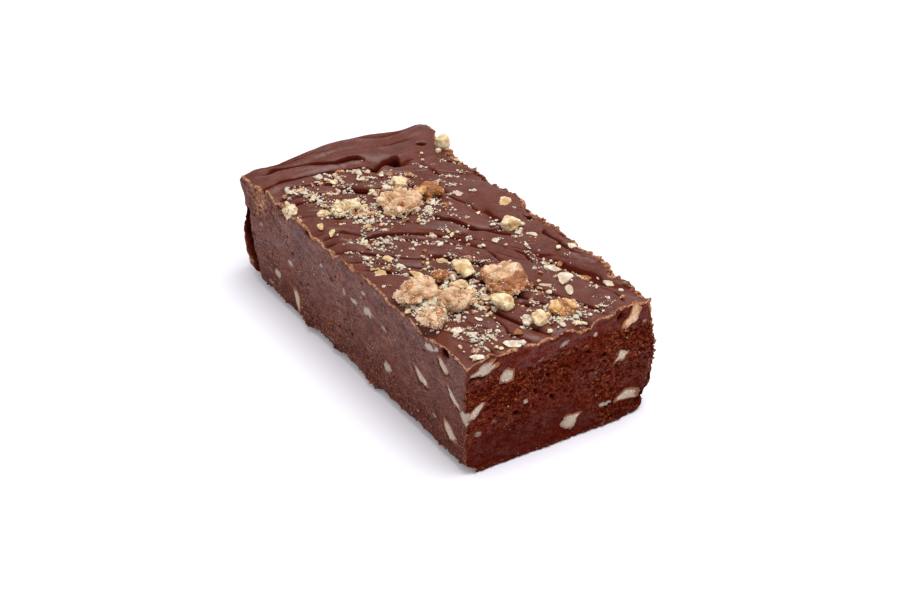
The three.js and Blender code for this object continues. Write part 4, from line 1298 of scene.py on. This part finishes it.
def clumped(rng, clumps, most, spread):
    """Random places on the top, in clumps of up to so many crumbs, thickest in the drifts."""
    weights = np.array([drift[4] for drift in DRIFTS])
    chosen = rng.choice(len(DRIFTS), clumps, p=weights / weights.sum())
    facts = np.array(DRIFTS)[chosen]
    middles = facts[:, :2] + facts[:, 2:4] * rng.normal(size=(clumps, 2)) * 0.8
    counts = 1 + (most * rng.random(clumps) ** 2.2).astype(int)
    reach = spread * (0.4 + rng.random(clumps))
    around = np.repeat(middles, counts, axis=0)
    lean = np.array([[1.0, 0.35], [0.35, 1.0]])
    x, y = (around + (rng.normal(size=(len(around), 2)) @ lean) * np.repeat(reach, counts)[:, None]).T
    inside = (np.abs(x) < LENGTH / 2 - 0.8) & (np.abs(y) < WIDTH / 2 - 0.6)
    bare_end = (x < -42) & (rng.random(len(x)) < 0.7)
    dimple = np.hypot((x + 36.2) / 4.2, (y - 7.6) / 6.4) <= 1
    inside &= ~bare_end & ~dimple
    return x[inside], y[inside]


def strew(name, kind, clumps, most, spread, smallest, largest, seed, divisions, skin):
    """Crumbs between two sizes in mm, in clumps of up to so many, laid on the top."""
    rng = np.random.default_rng(seed)
    x, y = clumped(rng, clumps, most, spread)
    sizes = smallest + (largest - smallest) * rng.random(len(x)) ** 2.2
    stacked = 0.35 * rng.random(len(x)) ** 3
    places = np.stack([x, y, top_height(x, y) + 0.15 * sizes + stacked], axis=1)
    return joined_crumbs(name, WALNUTS[kind], "walnut", places, sizes, seed + 1, divisions, skin)


strew("walnut_dust", "dust", 1050, 16, 0.42, 0.25, 0.85, 71, 1, 0.05)
strew("walnut_crumbs", "dust", 300, 5, 0.55, 0.6, 1.8, 73, 2, 0.1)
strew("walnut_cream_crumbs", "pale", 170, 4, 0.7, 0.5, 1.8, 77, 2, 0.2)
strew("walnut_skin_crumbs", "tan", 110, 3, 0.8, 0.5, 1.7, 75, 2, 0.75)

# %% [markdown]
# ## Dust on the nuts
# The same dust clings to the larger nuts. It is laid on points picked at random from their meshes, more on
# the large ones, and only on those points that stand clear of the fudge.

# %% Dust that clings to the nuts
rng = np.random.default_rng(91)
on_nuts = np.concatenate([p[rng.choice(len(p), 230 if len(p) > 10000 else 35)] for p in nut_points])
on_nuts = on_nuts[on_nuts[:, 2] > top_height(on_nuts[:, 0], on_nuts[:, 1]) + 0.3]
cling_sizes = 0.25 + 0.4 * rng.random(len(on_nuts)) ** 2
joined_crumbs("walnut_clinging_dust", WALNUTS["dust"], "walnut", on_nuts, cling_sizes, 93, 1)

# %% [markdown]
# ## Where the flakes lie
# Between dust and nut come flakes, two to five millimetres across: thin chips of the pale flesh and bits of
# brown skin. The eye finds each of them, so they are placed one by one.

# %% Where the flakes lie
# For each kind: middle, length, breadth and turn in degrees.
FLAKES = {
    "pale": [
        (-5.4, 21.6, 4.2, 3.2, -40), (9.2, -21.6, 3.4, 2.6, 60), (6.2, -21.4, 2.6, 2.0, 80),
        (4.4, -17.0, 3.6, 2.2, -50), (-22.7, -18.5, 4.4, 3.2, 10), (-24.0, 2.6, 3.4, 2.4, -30),
        (13.7, -14.4, 4.0, 2.4, 30), (30.6, -6.3, 3.0, 2.2, 70), (26.6, -17.6, 3.0, 2.0, 20),
        (28.9, -8.2, 3.6, 2.2, 60), (25.8, -8.2, 3.2, 1.8, 40), (23.6, -14.6, 3.4, 2.4, 20),
        (-13.4, -21.6, 4.4, 1.4, -35), (-17.6, -22.2, 3.0, 1.6, -20),
    ],
    "dust": [
        (32.8, 13.0, 5.2, 3.2, -50), (37.6, 11.2, 4.2, 1.8, -25), (27.4, 13.6, 3.8, 3.2, 20),
        (44.3, -14.0, 3.2, 1.8, 0), (49.0, -12.0, 3.8, 2.4, 60), (42.9, -3.6, 3.2, 2.8, -30),
        (12.6, 18.0, 2.8, 1.6, 20), (-14.0, 13.8, 2.6, 2.0, 0), (-38.0, -11.4, 2.8, 2.4, 20),
        (38.8, -19.8, 2.8, 2.0, 60), (-4.8, -17.8, 3.0, 2.2, 20), (49.6, -21.0, 3.4, 1.6, 70),
        (-32.6, -2.0, 3.2, 1.6, -60), (22.6, 22.4, 2.4, 1.6, 10), (38.6, 21.4, 4.6, 2.0, -12),
        (10.0, 9.6, 2.4, 1.6, 20), (-8.0, -13.2, 2.4, 1.6, 60), (46.4, 7.6, 2.6, 1.4, 30),
        (27.7, -16.0, 3.6, 2.6, 50), (32.6, 8.3, 3.0, 1.2, 50), (41.4, -17.5, 2.8, 1.6, 60),
        (47.8, -17.6, 2.2, 1.4, 40), (37.4, -12.9, 2.2, 1.2, 20),
    ],
    "tan": [
        (33.4, 18.2, 4.4, 2.6, 10), (33.1, -9.0, 3.6, 2.2, 55), (46.2, -8.0, 2.8, 2.4, 0),
        (13.6, -0.6, 3.2, 1.8, 10), (-17.2, -11.4, 4.6, 3.0, -30), (-10.6, 8.4, 3.0, 2.0, -20),
        (-32.0, -16.8, 2.6, 2.0, 20), (21.8, -12.4, 2.4, 2.0, 30), (34.7, 4.7, 3.4, 1.6, 20),
    ],
}
print(sum(len(rows) for rows in FLAKES.values()), "flakes of", len(FLAKES), "kinds")

# %% [markdown]
# ## Flakes
# A flake is a ball, broken flat on several sides, flattened to its size and roughened with the same relief
# as the nuts. It sinks a little into the top.


# %% Flakes
def flakes(name, kind, rows, seed):
    """One piece with a flake for each row, laid on the top."""
    base, base_faces = ball(4)
    points, tones, highs = [], [], []
    for n, (x, y, long, broad, turn) in enumerate(rows):
        thick = 0.38 * broad
        unit = chipped(base * 2, np.random.default_rng(seed + n), 9, 0.45, 0.8)[0]
        away = unit * np.array([long, broad, thick]) / 1.7
        height, number = broken_relief(away + 10 * n, seed + n, 0.35 * thick, 0.15 * thick)
        away = away + height[:, None] * base * 2
        away[:, 0] += 0.3 * broad * rough(away[:, 1] / 1.1 + n, away[:, 2], seed, 2)
        c, s = math.cos(math.radians(turn)), math.sin(math.radians(turn))
        across, along, up = away.T
        level = top_height(np.array([x]), np.array([y]))[0]
        level = level + 0.12 * thick
        points.append(np.stack([x + across * c - along * s, y + across * s + along * c, level + up], axis=1))
        tones.append(number)
        highs.append(np.clip(0.5 + height / (3 * height.std()), 0, 1))
    steps = (np.arange(len(rows)) * len(base))[:, None, None]
    faces = (base_faces[None] + steps).reshape(-1, 3)
    skin = np.full(len(rows) * len(base), 0.8 if kind == "tan" else 0.05)
    piece = make_piece(
        name, np.concatenate(points), faces, [WALNUTS[kind]],
        skin=skin, tone=np.concatenate(tones), high=np.concatenate(highs),
    )
    print(name, len(rows), "flakes,", len(faces), "triangles")


for n, (kind, rows) in enumerate(FLAKES.items()):
    flakes(f"walnut_flakes_{kind}", kind, rows, 300 + 40 * n)

# %% [markdown]
# ## Crumbs of fudge
# The knife threw up a burr along the top's cut edges, and fudge crumbled off at the foot and along the back.
# These are crumbs of the same kind as the nut's, in a torn fudge finish, strung along those lines.


# %% Crumbs of fudge
def on_skin(rng, count, x, y, z, smallest, largest):
    """Places on the bar's skin, for points of the plain box between two bounds on each axis, and sizes."""
    box = np.stack([rng.uniform(*bounds, count) for bounds in (x, y, z)], axis=1)
    return carry(box), smallest + (largest - smallest) * rng.random(count) ** 3


rng = np.random.default_rng(81)
EDGES = [
    on_skin(rng, 260, (-50, 51), (-25, -24.6), (HEIGHT, HEIGHT), 0.15, 0.5),
    on_skin(rng, 200, (50.6, 51), (-25, 25), (HEIGHT, HEIGHT), 0.15, 0.7),
    on_skin(rng, 230, (-40, 51), (23.6, 25), (HEIGHT, HEIGHT), 0.3, 2.0),
    on_skin(rng, 700, (-48, 51), (25, 25), (2, 29), 0.3, 1.5),
    on_skin(rng, 60, (50.0, 51), (25, 25), (12, 24), 0.5, 1.5),
    on_skin(rng, 260, (-44, 50), (-25, -25), (0.2, 2.2), 0.3, 1.4),
    on_skin(rng, 60, (-24, -20), (-25, -25), (0.2, 1.6), 0.5, 1.6),
    on_skin(rng, 50, (4, 10), (-25, -25), (0.2, 1.6), 0.5, 1.4),
    on_skin(rng, 90, (51, 51), (-22, 18), (0.2, 1.2), 0.15, 0.5),
]
edge_places = np.concatenate([places for places, sizes in EDGES])
edge_sizes = np.concatenate([sizes for places, sizes in EDGES])
edge_places[:, 2] = np.maximum(edge_places[:, 2], 0.45 * edge_sizes)
crumb_finish = fudge_finish("fudge_crumb", "#6a3522", "#8a553c", "#a9714e", 0.3, 0.5, (1, 1, 1), 1.0)
state = dict(torn=0.5, hollow=0.0, grainy=0.5, smear=0.0, sheen=0.5, dense=0.0)
joined_crumbs("fudge_crumbs", crumb_finish, "fudge", edge_places, edge_sizes, 83, 1, **state)

# %% [markdown]
# ## Floor and light
# The bar lies on a white table in a light tent, where soft light comes from everywhere and a little more
# from above and from the near end's side. A white world gives the tent, two large lamps the direction, and a
# faint lavender glow of the table, a painted light, lifts and tints its shadows.

# %% Floor and light
scene = bpy.context.scene
scene.view_settings.view_transform = "Standard"
scene.render.film_transparent = False
world = bpy.data.worlds.new("tent")
world.use_nodes = True
tent = world.node_tree.nodes["Background"].inputs
tent["Color"].default_value = (1.0, 1.0, 1.0, 1.0)
tent["Strength"].default_value = 0.72
scene.world = world

# The table glows faintly in lavender: painted light that lifts and tints the shadows on it.
paper = Finish("table_white", Roughness=0.8, Specular_IOR_Level=0.2, Emission_Strength=0.1)
paper.shader.inputs["Emission Color"].default_value = (0.92, 0.9, 1.0, 1)
table_colour = paper.mix(paper.noise(60, 2), (0.88, 0.87, 0.925, 1), (0.9, 0.89, 0.945, 1))
mesh = bpy.data.meshes.new("table")
mesh.from_pydata([(-3, -3, 0), (3, -3, 0), (3, 3, 0), (-3, 3, 0)], [], [(0, 1, 2, 3)])
mesh.materials.append(paper.wear(Base_Color=table_colour))
put("table", mesh)


def lamp(name, place, aim_at, size, watts):
    """A round lamp, its size and place in metres, turned to face a point."""
    light = bpy.data.lights.new(name, "AREA")
    light.shape, light.size, light.energy = "DISK", size, watts
    made = put(name, light)
    made.location = place
    x, y, z = np.array(aim_at) - np.array(place)
    made.rotation_euler = (math.acos(-z / math.hypot(x, y, z)), 0, math.atan2(x, -y))


lamp("overhead", (0.1, 0.2, 0.9), (0, 0, 0), 0.7, 7)
lamp("near_side", (0.8, 0.1, 0.5), (0, 0, 0.015), 0.5, 4)
